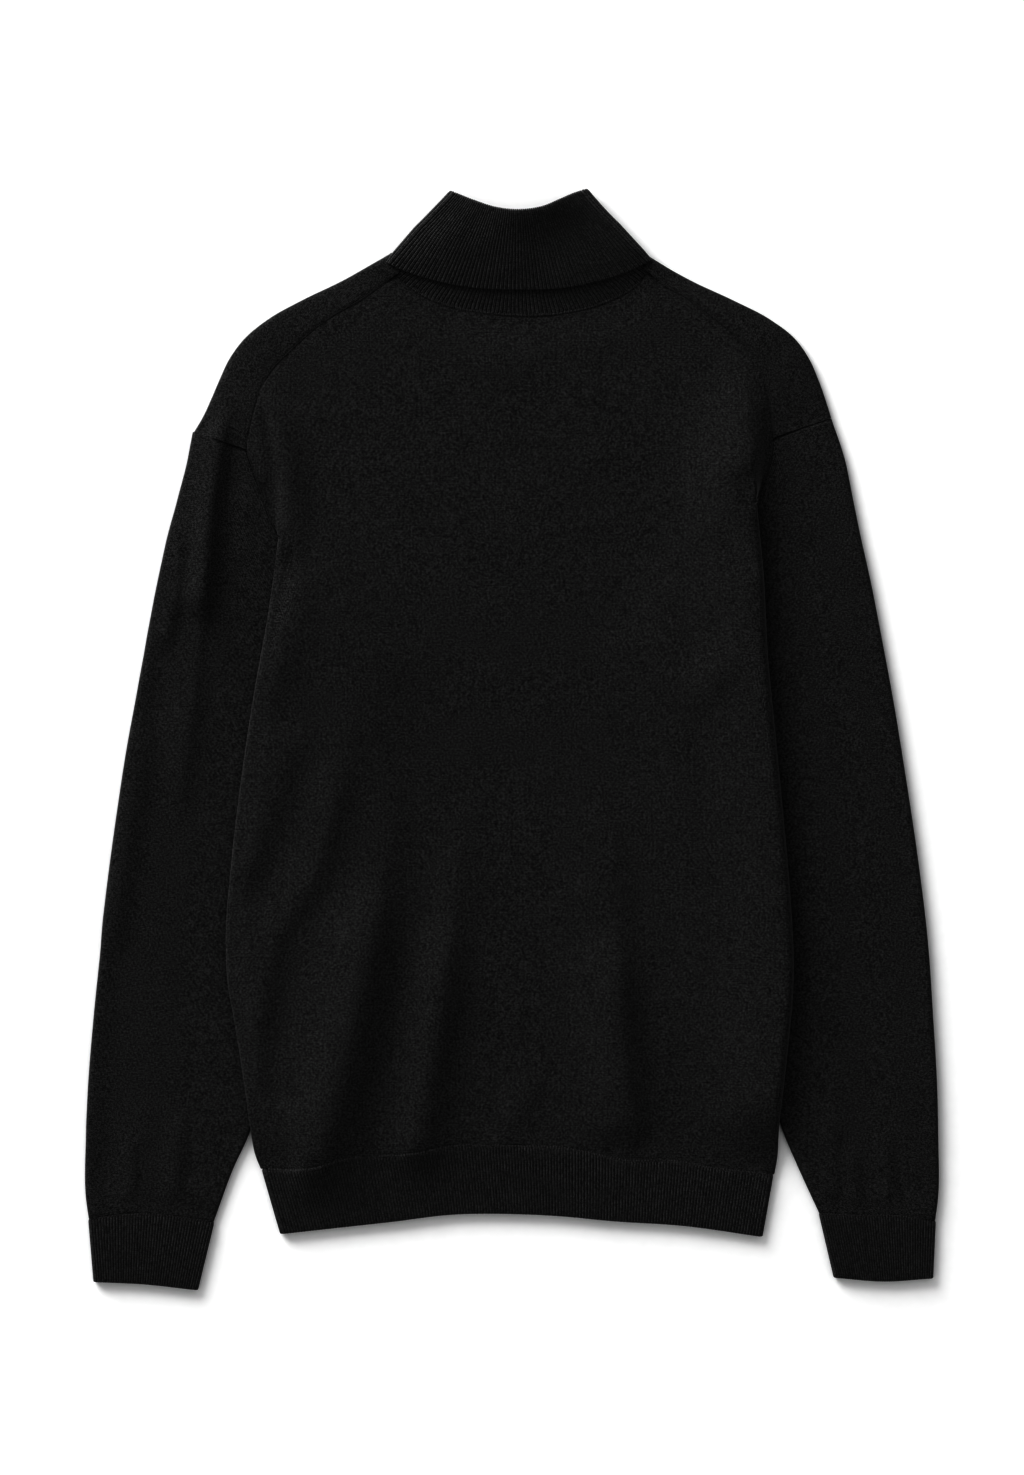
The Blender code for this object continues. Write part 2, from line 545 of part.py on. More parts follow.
# ---- cuffs and hem -----------------------------------------------------------------------------------
def cuff_line(side, down):
    """Plan points across a cuff at a share from its seam to its end, between the centres of its folds."""
    edge = RIB_FOLD + RIB / 2

    def line(share):
        seam = along(CUFF_SEAM[side], share) - [0, SEAM]
        row = seam + (along(CUFF_END[side], share) - seam) * down
        ends = along(CUFF_SEAM[side], [0.0, 1.0])
        middle, width = ends.mean(axis=0), np.hypot(*(ends[1] - ends[0]))
        return row - (row - middle) * [2 * edge / width, 0]

    return line


def cuff(side, name):
    """A flattened rib tube: ribs stand up on its upper side, and its underside is plain."""
    ribbed, plain = ring_places(2 * CUFF_RIBS, 3, 5), ring_places(8, 3, 5)
    top, low = level(RIB / 2 + 2 * RIB_FOLD), level(RIB / 2)
    ribs = RIB / 2 + rib_rise(ribbed)
    rings = []
    for down in (0, 0.5, 1):
        line = cuff_line(side, down)
        rings.append((ribbed, flat_ring(ribbed, line, line, top, low, ribs)))
    for down in (1, 0):
        line = cuff_line(side, down)
        rings.append((plain, flat_ring(plain, line, line, top, low, np.full(len(plain), -RIB / 2))))
    return tube_wall(name, rings, RIB_COLOUR)


def hem_row(down, share, spread, lip_turns=(60, 120, 180)):
    """Points across the hem's back band at a share down it, spread from the middle of its wall, with a
    rounded lip at each end that comes down to the surface."""
    seam_x, end_x = [np.array([line[0].x, line[-1].x]) for line in (HEM_SEAM, HEM_END)]
    ends_x = seam_x + (end_x - seam_x) * down
    lip = RIB_FOLD + RIB / 2
    x = ends_x[0] + lip + share * (ends_x[1] - ends_x[0] - 2 * lip)
    y = (y_at(HEM_SEAM, x) - SEAM) * (1 - down) + y_at(HEM_END, x) * down
    flat_z = RIB / 2 + 2 * RIB_FOLD
    inside = ease(np.minimum(x - ends_x[0], ends_x[1] - x) / HEM_EASE - 0.1)
    middle = flat_z + (np.maximum(fold_height(BODY_FOLDS, x, y), -0.6)) * inside
    row = np.column_stack([x, y, middle + spread])
    lips = []
    for side, end in ((-1, 0), (1, -1)):
        points = []
        for turn in np.radians(lip_turns):
            reach = (RIB_FOLD + spread[end]) * math.sin(turn)
            height = flat_z - RIB_FOLD + (RIB_FOLD + spread[end]) * math.cos(turn)
            points.append([x[end] + side * reach, y[end], height])
        lips.append(np.array(points[::-1] if side < 0 else points))
    return np.concatenate([lips[0], row, lips[1]])


def hem_back():
    """The hem's back band: ribs on its upper side, and a lip round each end of the front band."""
    fine, plain = np.linspace(0, 1, 2 * HEM_RIBS + 1), np.linspace(0, 1, 25)
    rise = np.where(np.arange(len(fine)) % 2 == 1, RIB_RISE, 0.0)
    ends = np.linspace(0.3, 0.9, 3)
    outer_places = np.concatenate([ends - 1, fine, 1 + ends])
    inner_places = np.concatenate([ends - 1, plain, 1 + ends])
    outer = [(outer_places, hem_row(down, fine, RIB / 2 + rise)) for down in (0, 0.5, 1)]
    inner = [(inner_places, hem_row(down, plain, np.full(len(plain), -RIB / 2))) for down in (0, 1)]
    return band_wall("hem_back", outer, inner, RIB_COLOUR)


def hem_front():
    """The hem's front band lies flat under the back band."""
    share = np.linspace(0, 1, 21)
    rows = []
    for down in (0, 1):
        row = hem_row(down, share, np.full(len(share), -RIB / 2))[3:-3]
        row[:, 0] = row[:, 0] * (1 - 2 * SEAM / abs(row[0, 0]))
        rows.append(row)
    faces = [[(share, np.column_stack([row[:, :2], np.full(len(row), height)])) for row in rows]
             for height in (0.0, KNIT)]
    return band_wall("hem_front", faces[0], faces[1], RIB_COLOUR)


# ---- collar ------------------------------------------------------------------------------------------
STAND_LOW = COLLAR_WALL / 2 + 2 * COLLAR_FOLD + 0.1  # middles of the collar's four layers, upwards
STAND_HIGH = STAND_LOW + 2 * COLLAR_CORE
TURNOVER_LOW = COLLAR_WALL / 2
TURNOVER_HIGH = STAND_HIGH + 2 * COLLAR_FOLD
NECK_HIGH, NECK_LOW = 4.5, 1.0  # middles of the stand at the neck seam, behind and in front


def collar_lines(start, down, inset):
    """A plan line across the collar at a share from its top to the curve start, drawn in at both ends."""

    def line(share):
        part = inset + share * (1 - 2 * inset)
        top, low = along(COLLAR_TOP, part), along(start, part)
        return top + (low - top) * down

    return line


def fold_line(inset, out):
    """The line of the collar's top fold, a distance out from the centre of the fold."""

    def line(share):
        part = inset + share * (1 - 2 * inset)
        top, low = along(COLLAR_TOP, part), along(TURNOVER_END, part)
        outward = (top - low) / np.hypot(*(top - low).T)[:, None]
        return top + outward * (out - COLLAR_FOLD - COLLAR_WALL / 2)

    return line


def stand_height(high, seam_high):
    """The stand lies between the turnover's layers, and slopes to the panel at the neck seam."""

    def height(plan):
        beyond = y_at(TURNOVER_END, plan[:, 0]) - plan[:, 1]
        return high + (seam_high - high) * ease((beyond + 2) / 8)

    return height


def collar():
    """A rib tube, folded over: the rings run up the stand's inner face, over the fold and down the
    turnover's outer face, then back up its inner face and down the stand's outer face."""
    half = COLLAR_WALL / 2
    ribbed, plain = ring_places(2 * COLLAR_RIBS, 3, 10), ring_places(22, 3, 10)
    stand = stand_height(STAND_HIGH, NECK_HIGH), stand_height(STAND_LOW, NECK_LOW)
    turned = level(TURNOVER_HIGH), level(TURNOVER_LOW)
    crest = level((STAND_HIGH + TURNOVER_HIGH) / 2), level((STAND_LOW + TURNOVER_LOW) / 2)
    ribs = half + rib_rise(ribbed)

    def stand_ring(places, down, spread):
        lines = [collar_lines(neck, down, STAND_INSET) for neck in (NECK_BACK, NECK_FRONT)]
        return places, flat_ring(places, *lines, *stand, spread)

    def under_fold(places, inset, heights, spread):
        line = fold_line(inset, 0.0)
        return places, flat_ring(places, line, line, *heights, spread)

    def turn_ring(places, down, spread):
        line = collar_lines(TURNOVER_END, down, TURN_INSET)
        return places, flat_ring(places, line, line, *turned, spread)

    def crest_ring(places, inset, out):
        line = fold_line(inset, out)
        return places, flat_ring(places, line, line, *crest, 0.0 * places)

    inner, outer = np.full(len(plain), -half), np.full(len(plain), half)
    rings = [
        stand_ring(plain, 1.0, inner), stand_ring(plain, 0.9, inner), stand_ring(plain, 0.78, inner),
        stand_ring(plain, 0.5, inner),
        under_fold(plain, STAND_INSET, stand, inner),
        crest_ring(plain, CREST_INSET, COLLAR_FOLD + half),
        under_fold(ribbed, TURN_TOP_INSET, turned, ribs),
        turn_ring(ribbed, 0.5, ribs), turn_ring(ribbed, 1.0, ribs),
        turn_ring(plain, 1.0, inner),
        under_fold(plain, TURN_TOP_INSET, turned, inner),
        crest_ring(plain, CREST_INSET + 0.02, COLLAR_FOLD - half),
        under_fold(plain, STAND_INSET, stand, outer),
        stand_ring(plain, 0.55, outer), stand_ring(ribbed, 0.78, ribs), stand_ring(ribbed, 0.9, ribs),
        stand_ring(ribbed, 1.0, ribs),
    ]
    return tube_wall("collar", rings, RIB_COLOUR)


back_panel()
front_panel()
sleeve(-1, "sleeve_left")
sleeve(1, "sleeve_right")
cuff(-1, "cuff_left")
cuff(1, "cuff_right")
hem_back()
hem_front()
collar()
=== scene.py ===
# %% [markdown]
# A fine-gauge turtleneck sweater, laid flat on its front with its back up and its sleeves folded down. This
# script dresses the imported solids. Their plain walls could be shown as they are, with a knitted pattern on
# them, but then the ribs, the seams and the rolled edges would not catch the light. So every piece of cloth
# is worked out again as a thin wall on a fine grid, with its ribs, its folds and the way it rolls at its
# edges.
#
# The imported solids come first.

# %% Load the imported solids
import math
from collections import namedtuple

import bpy
import numpy as np
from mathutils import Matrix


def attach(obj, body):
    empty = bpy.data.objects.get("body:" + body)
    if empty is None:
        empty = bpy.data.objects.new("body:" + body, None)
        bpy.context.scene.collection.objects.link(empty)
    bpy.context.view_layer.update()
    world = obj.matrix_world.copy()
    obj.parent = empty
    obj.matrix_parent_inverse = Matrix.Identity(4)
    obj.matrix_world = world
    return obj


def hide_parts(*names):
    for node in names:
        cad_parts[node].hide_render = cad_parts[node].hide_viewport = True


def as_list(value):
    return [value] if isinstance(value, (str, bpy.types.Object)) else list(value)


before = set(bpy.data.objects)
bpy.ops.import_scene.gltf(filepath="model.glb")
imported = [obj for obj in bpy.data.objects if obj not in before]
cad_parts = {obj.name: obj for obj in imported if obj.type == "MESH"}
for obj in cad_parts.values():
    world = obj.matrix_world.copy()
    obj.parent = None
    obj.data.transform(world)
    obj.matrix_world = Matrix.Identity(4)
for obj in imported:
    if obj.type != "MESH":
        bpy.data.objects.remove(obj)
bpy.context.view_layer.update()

# %% [markdown]
# All sizes are in millimetres and are turned into metres when a mesh is made. A fine knit of this kind is
# about 1.3 mm thick and has a stitch 1.8 mm wide and 1.35 mm high. The ribs of the collar are wider than
# those of the cuffs and the hem, because the collar is stretched round the neck's opening. Sizes could also
# be typed in where they are used, but together they are easier to compare and to change.

# %% Sizes
MM = 0.001
PLAIN = 1.3  # thickness of the plain knit
RIB = 1.2  # thickness of the rib knit
SOLID_WALL = 1.8  # the solids' wall, whose outer faces the cloth follows
RIB_SOLID = 2.0  # the same for the solids of the cuffs and the hem
RIB_RISE = 0.9  # height of a rib over the valley beside it
RIB_PROUD = 0.45  # how far the crests of the ribs stand out from that wall
WALE, COURSE = 1.8, 1.35  # width and height of one stitch
SEAM = 0.3  # gap between two pieces that are sewn together
EDGE_GROOVE = 0.5, 1.1  # depth and width of the dip where a plain edge is drawn down into its seam

SLEEVE_LONG, CUFF_LONG, HEM_LONG, STAND_LONG = 560.0, 48, 49, 80  # lengths down, for rows and stitches
SLEEVE_FOLD, SLEEVE_PUFF = 1.1, 1.8  # radii of a sleeve's inner and outer fold, to the middle of the wall
SLEEVE_PUFF_MORE = 0.5  # how much rounder the outer fold is away from the sleeve's two ends
SLEEVE_TOP = 2 * SLEEVE_FOLD + SOLID_WALL  # upper face of a sleeve that is pressed flat
OVER = SLEEVE_TOP + 0.5  # underside of the front panel over a sleeve
OVER_RAMP, OVER_MARGIN = 34.0, 12.0  # a panel's slope on to a sleeve begins and ends so far before its edge
SHOULDER_FOLD = 1.7  # radius inside the front panel's fold over each shoulder
BACK_BASE, BACK_REST = 2.3, 0.6  # underside of the back's solid at its seams, and the cloth's rest above it
LOFT = 0.4  # how much higher still the back lies away from its seams
FOLD_GAIN = 1.9  # the folds of body and sleeves stand so many times as high as their rows say
BACK_SINK, BACK_REACH = 0.2, 62.0  # the back lies a little lower on a sleeve, and slopes up to it from so far
BACK_LIP = 1.8  # radius of the roll at each side of the body
LIP_WIDTH = {-1: 5.5, 1: 6.0}  # how far in from its edge the body's side begins to roll over
LIP_TOP = OVER + SOLID_WALL / 2 + 2 * BACK_LIP  # height of that roll
SHOULDER_RISE, RISE_REACH = 2.4, 18.0  # rise of the back in from each shoulder's fold, and its reach
RIB_FOLD = 1.45  # radius of the side folds of cuffs and hem, to the middle of the wall
HEM_RIBS, CUFF_RIBS, COLLAR_RIBS = 166, 40, 66  # ribs that show across each piece
COLLAR_WALL, COLLAR_FOLD = 2.0, 1.5  # the collar's wall in the solid, and the radius inside its top roll
COLLAR_CORE = 1.3  # half the height between the two layers of its stand
print("plain knit", PLAIN, "mm thick, rib", RIB, "mm; the body's sides roll over", round(LIP_TOP, 1), "mm up")

# %% [markdown]
# The outlines are short tables of points, read from the collar down to the hem. Side -1 is the left of the
# garment as it lies and side 1 the right. They are the lines that a pattern cutter would draw: the fold over
# each shoulder, the seams, the armholes, the long edges of the sleeves, and the two ends of every rib piece.
# They could be drawn as curve objects, but numpy reads a table directly, and a smooth curve runs through it
# later.

# %% Outlines
Point = namedtuple("Point", "x y")

SHOULDER_OUTLINE = {
    -1: [Point(-229, 222), Point(-222, 234), Point(-217, 245), Point(-211, 259), Point(-204, 274),
         Point(-193, 289), Point(-176, 303), Point(-151, 317), Point(-122, 331), Point(-98, 344.5),
         Point(-92, 347.8)],
    1: [Point(230, 232), Point(226, 245), Point(221, 259), Point(214.5, 274), Point(204, 289),
        Point(186, 303), Point(159, 317), Point(129, 331), Point(105, 344.5), Point(100, 347.6)],
}
SHOULDER_SEAM = {
    -1: [Point(-191.5, 209.5), Point(-187, 231), Point(-183, 245), Point(-178.5, 258), Point(-172, 268),
         Point(-160, 280), Point(-146, 293), Point(-130, 305), Point(-109, 317), Point(-87, 332),
         Point(-84.6, 333.6)],
    1: [Point(188, 218), Point(187, 234), Point(183.5, 252), Point(176.5, 272), Point(164, 288),
        Point(147, 303), Point(128, 317), Point(103, 332), Point(98.6, 336)],
}
TOP_SEAM = {-1: [Point(-229, 222), Point(-218, 221), Point(-205, 215), Point(-191.5, 209.5)],
            1: [Point(230, 232), Point(222, 230), Point(204, 224), Point(188, 218)]}
ARMHOLE = {  # from the end of the sleeve's top seam to the underarm
    -1: [Point(-191.5, 209.5), Point(-185, 191), Point(-180, 177), Point(-174, 159), Point(-168, 147),
         Point(-146, 104), Point(-120, 61)],
    1: [Point(188, 218), Point(186.5, 203), Point(181, 186), Point(172, 160), Point(157, 124),
        Point(140, 90), Point(124, 61)],
}
BODY_EDGE = {
    -1: [Point(-164, 180), Point(-168, 147), Point(-176, 88), Point(-186, 32), Point(-194.5, -25),
         Point(-201.5, -83), Point(-206, -144), Point(-204.5, -176), Point(-200, -202), Point(-192, -253),
         Point(-188.5, -280), Point(-184, -302), Point(-181, -309)],
    1: [Point(174.5, 210), Point(175, 187), Point(181, 117), Point(184, 60), Point(189.5, 3),
        Point(195, -54), Point(200, -111), Point(202.5, -169), Point(197.5, -230), Point(192, -282),
        Point(191, -302), Point(189, -313)],
}
SLEEVE_OUTLINE = {
    -1: [Point(-229, 222), Point(-232.5, 202), Point(-240.5, 173), Point(-248, 144), Point(-255, 115),
         Point(-263.5, 72), Point(-271.5, 29), Point(-281, -29), Point(-289, -86), Point(-296, -144),
         Point(-302, -202), Point(-305.5, -245), Point(-307.3, -288), Point(-307, -331), Point(-305, -345)],
    1: [Point(230, 232), Point(240, 202), Point(246, 173), Point(252, 144), Point(258.5, 115),
        Point(267, 72), Point(275, 29), Point(284.5, -29), Point(293, -86), Point(300, -144),
        Point(304, -202), Point(306.5, -245), Point(307.4, -288), Point(307, -331), Point(305, -346)],
}
SLEEVE_INSIDE = {
    -1: [Point(-120, 61), Point(-131, 0), Point(-143, -60), Point(-155, -120), Point(-166, -175),
         Point(-175, -225), Point(-184, -262), Point(-188.5, -281), Point(-201, -309), Point(-215, -347)],
    1: [Point(124, 61), Point(136, 0), Point(148, -60), Point(160, -120), Point(170, -175),
        Point(180, -225), Point(189, -262), Point(194.5, -280), Point(205, -305), Point(221.5, -341)],
}
CUFF_END = {-1: [Point(-301, -390.5), Point(-266, -392), Point(-227.5, -396)],
            1: [Point(303, -388), Point(268, -390), Point(233, -387.5)]}
CUFF_SEAM = {-1: [Point(-305, -345), Point(-266, -341.5), Point(-237, -344), Point(-215, -347)],
             1: [Point(305, -346), Point(271, -342.5), Point(247, -342.5), Point(221.5, -341)]}
HEM_SEAM = [Point(-181, -309), Point(-156, -309.5), Point(-138, -306.5), Point(-122, -302),
            Point(-98, -300), Point(-72, -298), Point(-46, -293), Point(4, -292.5), Point(55, -296.5),
            Point(79, -302.5), Point(117, -303), Point(144, -308), Point(189, -313)]
HEM_END = [Point(-167.5, -356), Point(-127, -351.5), Point(-86, -347), Point(-45, -342), Point(4, -341.5),
           Point(35, -343), Point(72, -346.5), Point(124, -350), Point(181, -358)]
NECK_BACK = [Point(-84, 335), Point(-79, 331), Point(-61, 319), Point(-40, 311.5), Point(-19, 308),
             Point(8, 306), Point(35, 307.5), Point(63, 314), Point(77, 320), Point(90, 328), Point(98, 338)]
NECK_FRONT = [Point(-84, 335), Point(-72, 312), Point(-48, 295), Point(-18, 287), Point(8, 285.5),
              Point(34, 287), Point(62, 296), Point(86, 313), Point(98, 338)]
TURNOVER_END = [Point(-91.5, 344), Point(-80, 338.5), Point(-61, 332), Point(-33, 326), Point(1.5, 324),
                Point(35, 325), Point(63.5, 330.5), Point(83.5, 337), Point(101.5, 345.5)]
COLLAR_TOP = [Point(-44, 395.4), Point(-36, 392), Point(-26, 387.8), Point(-12, 383), Point(5, 381),
              Point(22, 383.5), Point(35, 389), Point(45, 393.6), Point(52.5, 396.3)]
width = sum(max(abs(p.x) for p in SLEEVE_OUTLINE[side]) for side in (-1, 1))
print("laid out,", round(width, 1), "mm wide and", round(COLLAR_TOP[-1].y - CUFF_END[-1][-1].y, 1), "mm long")

# %% [markdown]
# A laid sweater is never flat. The body keeps soft folds where its cloth had too much width, each with a
# gentle side and a steep one. A cloth simulation would lay folds of its own, not these, and sculpted ones
# are slow to move. So every fold here is one row: how high it stands, how wide its slopes are on the left
# and on the right, and the line of its right slope, read down the garment.

# %% Folds, listed one by one
Fold = namedtuple("Fold", "height left right line")

BODY_FOLDS = [
    Fold(1.2, 8, 6.5, [Point(-185, 262), Point(-179, 235), Point(-176, 205), Point(-173, 178)]),
    Fold(2.0, 4.5, 13, [Point(-173, 268), Point(-163, 238), Point(-158, 212), Point(-154, 191),
                        Point(-154, 170), Point(-155, 146), Point(-158, 118)]),
    Fold(1.5, 7, 14, [Point(-154, 150), Point(-162, 100), Point(-167, 60), Point(-177, 0), Point(-186, -60),
                      Point(-191, -120), Point(-191, -170), Point(-186, -215)]),
    Fold(0.9, 10, 11, [Point(-160, 238), Point(-151.5, 173), Point(-146, 130), Point(-145, 98),
                       Point(-156, 48), Point(-166, 23)]),
    Fold(1.4, 15, 11, [Point(-138, 24), Point(-157, -20), Point(-174, -77), Point(-186, -112)]),
    Fold(2.1, 17, 11, [Point(-110, 34), Point(-118, -25), Point(-126, -68), Point(-140, -110),
                       Point(-161, -140), Point(-171, -180), Point(-178, -225), Point(-176, -290)]),
    Fold(2.2, 20, 15, [Point(-68, -5), Point(-78, -65), Point(-86, -122), Point(-93, -168),
                       Point(-103, -218), Point(-114, -264), Point(-128, -305), Point(-139, -336)]),
    Fold(5.3, 30, 23, [Point(-80, -82), Point(-90, -150), Point(-100, -205), Point(-112, -256),
                       Point(-128, -305), Point(-137, -324), Point(-143, -346)]),
    Fold(1.6, 16, 13, [Point(-29, -34), Point(-30, -76), Point(-36, -138), Point(-43, -195),
                       Point(-50, -241), Point(-55, -283), Point(-64, -322)]),
    Fold(3.6, 19, 17, [Point(-34, -120), Point(-42, -190), Point(-50, -241), Point(-55, -283),
                       Point(-64, -322)]),
    Fold(1.1, 12, 11, [Point(26, -236), Point(14, -262), Point(4, -280), Point(2, -300)]),
    Fold(1.4, 26, 14, [Point(68, 4), Point(79, -54), Point(82, -110), Point(84, -168), Point(87, -214),
                       Point(91, -253), Point(95, -299)]),
    Fold(3.2, 24, 14, [Point(83, -130), Point(87, -214), Point(91, -253), Point(95, -299)]),
    Fold(1.1, 22, 4.5, [Point(170.5, 285), Point(172, 240), Point(173, 205), Point(175, 184)]),
    Fold(1.2, 14, 12, [Point(166, 66), Point(150, 38), Point(130, 16)]),
    Fold(0.6, 14, 14, [Point(-24, 290), Point(4, 280), Point(20, 274)]),
]
SLEEVE_FOLDS = {
    -1: [Fold(0.8, 12, 8, [Point(-188, 196), Point(-184, 180), Point(-180, 160), Point(-187, 118)]),
         Fold(4.0, 16, 6, [Point(-202, 250), Point(-206, 217), Point(-212, 168), Point(-216, 117),
                           Point(-220, 80)]),
         Fold(1.3, 14, 7, [Point(-207, 210), Point(-212, 168), Point(-217, 117), Point(-222, 60),
                           Point(-229, 0), Point(-238, -60)]),
         Fold(1.5, 9, 3.6, [Point(-233, 172), Point(-235.5, 140), Point(-240, 100), Point(-249, 56)]),
         Fold(1.4, 10, 9, [Point(-255, 32), Point(-264, -42), Point(-273, -96), Point(-281, -160)]),
         Fold(1.0, 9, 7, [Point(-236, -262), Point(-236, -300), Point(-240, -338)]),
         Fold(0.9, 8, 6, [Point(-270, -280), Point(-270, -310), Point(-272, -336)])],
    1: [Fold(1.1, 9, 6, [Point(233, -256), Point(235, -300), Point(236, -336)]),
        Fold(0.9, 7, 5, [Point(247, -290), Point(250, -315), Point(253, -336)]),
        Fold(1.0, 8, 6, [Point(272, -276), Point(274, -310), Point(275, -336)])],
}
COLLAR_FOLDS = [
    Fold(1.2, 14, 14, [Point(-10, 386), Point(2, 368), Point(12, 352), Point(18, 338)]),
]
print(len(BODY_FOLDS), "folds on the body,", sum(map(len, SLEEVE_FOLDS.values())), "on the sleeves,",
      len(COLLAR_FOLDS), "on the collar")


# %% [markdown]
# Lines first. `along` keeps the corners of a line, and `curve` runs smoothly through its points with cubic
# pieces. Blender's curve objects could do the same, but a height is worked out from whole arrays of points.

# %% Slopes and smooth lines
def ease(x):
    """0 below 0, 1 above 1, a smooth slope between."""
    x = np.clip(x, 0.0, 1.0)
    return x * x * (3 - 2 * x)


def cubic(knots, values, at):
    """Cubic pieces through values at rising knots. The slope at a knot is that of its two neighbours."""
    knots, values, at = np.asarray(knots, float), np.asarray(values, float), np.asarray(at, float)
    slopes = np.gradient(values, knots, axis=0)
    at = np.clip(at, knots[0], knots[-1])
    i = np.clip(np.searchsorted(knots, at, side="right") - 1, 0, len(knots) - 2)
    step = knots[i + 1] - knots[i]
    t = (at - knots[i]) / step
    if values.ndim > 1:
        t, step = t[..., None], step[..., None]
    return ((1 + 2 * t) * (1 - t) ** 2 * values[i] + t * (1 - t) ** 2 * step * slopes[i]
            + t * t * (3 - 2 * t) * values[i + 1] - t * t * (1 - t) * step * slopes[i + 1])


def lengths(points):
    """Distance along a line at each of its points, as shares 0 to 1, and the whole length."""
    run = np.concatenate([[0], np.cumsum(np.linalg.norm(np.diff(points, axis=0), axis=1))])
    return run / run[-1], run[-1]


def along(line, share):
    """Points at shares of a line's length, straight between its own points."""
    points = np.array(line, float)
    run, _ = lengths(points)
    return np.stack([np.interp(share, run, points[:, k]) for k in range(points.shape[1])], axis=-1)


def curve(line, share):
    """Points at shares of a line's length, on a smooth curve through its own points."""
    points = np.array(line, float)
    return cubic(lengths(points)[0], points, share)


def x_at(line, y):
    """X of a line that runs down the garment, at a height Y."""
    rows = np.array(sorted((p.y, p.x) for p in line))
    return cubic(rows[:, 0], rows[:, 1], y)


def y_at(line, x):
    """Y of a line that runs across the garment, at a place X."""
    rows = np.array(sorted((p.x, p.y) for p in line))
    return cubic(rows[:, 0], rows[:, 1], x)


print("the hem's seam is", round(lengths(curve(HEM_SEAM, np.linspace(0, 1, 200)))[1], 1), "mm long")


# %% [markdown]
# A height is the sum of the folds, each of them a bell across its line that fades away at its two ends. A
# painted displacement texture could raise them too, but its pixels would show as steps on slopes as gentle
# as these.

# %% Heights of the folds
CREST = 0.7  # how far a fold's crest lies to the left of its line, as a share of the right width
FADE_IN, FADE_OUT = 0.3, 0.16  # shares of a fold's length in which it rises and runs out


def beside(line, x, y):
    """Distance of every place x, y from a line, which side of it the place is on, and its share of the
    line."""
    shape, x, y = np.broadcast(x, y).shape, np.ravel(x), np.ravel(y)
    start, step = line[:-1], np.diff(line, axis=0)
    run = np.arange(len(start)) / len(start)
    best, side, share = np.full(x.size, np.inf), np.zeros(x.size), np.zeros(x.size)
    for (ax, ay), (dx, dy), begins in zip(start, step, run):
        if dx == dy == 0:  # two of the line's points in one place
            continue
        t = np.clip(((x - ax) * dx + (y - ay) * dy) / (dx * dx + dy * dy), 0, 1)
        off_x, off_y = x - ax - t * dx, y - ay - t * dy
        away = np.hypot(off_x, off_y)
        nearer = away < best
        best = np.where(nearer, away, best)
        side = np.where(nearer, np.sign(dx * off_y - dy * off_x), side)
        share = np.where(nearer, begins + t / len(start), share)
    return best.reshape(shape), side.reshape(shape), share.reshape(shape)


def fold_height(folds, x, y):
    """Sum of the folds at places x, y. A fold is height * exp(-(t / width)^2), where t is the distance from
    its crest, and fades out at both its ends."""
    x, y = np.broadcast_arrays(np.asarray(x, float), np.asarray(y, float))
    total = np.zeros(x.shape)
    for fold in folds:
        line = curve(fold.line, np.linspace(0, 1, 15))
        reach = 3.2 * max(fold.left, fold.right)
        near = ((x > line[:, 0].min() - reach) & (x < line[:, 0].max() + reach)
                & (y > line[:, 1].min() - reach) & (y < line[:, 1].max() + reach))
        if near.any():
            away, side, share = beside(line, x[near], y[near])
            from_crest = side * away + CREST * fold.right
            width = np.where(from_crest > 0, fold.right, fold.left)
            fade = ease(share / FADE_IN) * ease((1 - share) / FADE_OUT)
            total[near] += fold.height * fade * np.exp(-((from_crest / width) ** 2))
    return total


def wobble(x, y, size=1.0):
    """A small uneven rise and fall, from a few crossing waves of different lengths, 17 to 61 mm long."""
    waves = ((61, 0.31, 0.2), (43, 1.9, 1.4), (31, 2.6, 2.9), (23, 0.9, 4.1), (17, 2.2, 5.3))
    total = 0.0
    for length, heading, start in waves:
        total = total + length / 61 * np.sin(
            2 * math.pi / length * (x * math.cos(heading) + y * math.sin(heading)) + start)
    return size * total / 2.2


print("the highest fold is", round(FOLD_GAIN * max(fold.height for fold in BODY_FOLDS), 1), "mm")


# %% [markdown]
# Every piece of cloth is one grid of points for its outer face. The inner face is the same grid, moved
# inwards by the cloth's thickness along the grid's own normals, and the two are joined round every free
# edge, so the piece is a closed thin wall. A Solidify modifier could thicken it, but not less and less
# towards a rounded free end. The grid also carries a map of the knit: its first number counts the stitches
# across and its second the stitches down, which lets the yarn material put every stitch where the knitting
# machine would.

# %% Normals and free edges of a grid
def grid_normals(grid, wrap):
    """Unit normals of a grid of points, from the differences between neighbours."""
    down = np.gradient(grid, axis=0)
    if wrap:
        across = (np.roll(grid, -1, axis=1) - np.roll(grid, 1, axis=1)) / 2
    else:
        across = np.gradient(grid, axis=1)
    normal = np.cross(down, across)
    return normal / np.maximum(np.linalg.norm(normal, axis=2, keepdims=True), 1e-9)


def rim_edges(cells, number, wrap):
    """The edges of the grid that have cloth on one side only, as pairs of point numbers."""
    padded = np.pad(cells, ((1, 1), (0, 0) if wrap else (1, 1)))
    right = np.roll(number, -1, axis=1) if wrap else number[:, 1:]
    left = number if wrap else number[:, :-1]
    middle = padded if wrap else padded[:, 1:-1]
    above, below = middle[:-1], middle[1:]
    edges = [np.stack([right[below & ~above], left[below & ~above]], axis=1),
             np.stack([left[above & ~below], right[above & ~below]], axis=1)]
    if not wrap:
        before, after = padded[1:-1, :-1], padded[1:-1, 1:]
        top, low = number[:-1], number[1:]
        edges += [np.stack([top[after & ~before], low[after & ~before]], axis=1),
                  np.stack([low[before & ~after], top[before & ~after]], axis=1)]
    return np.concatenate(edges)


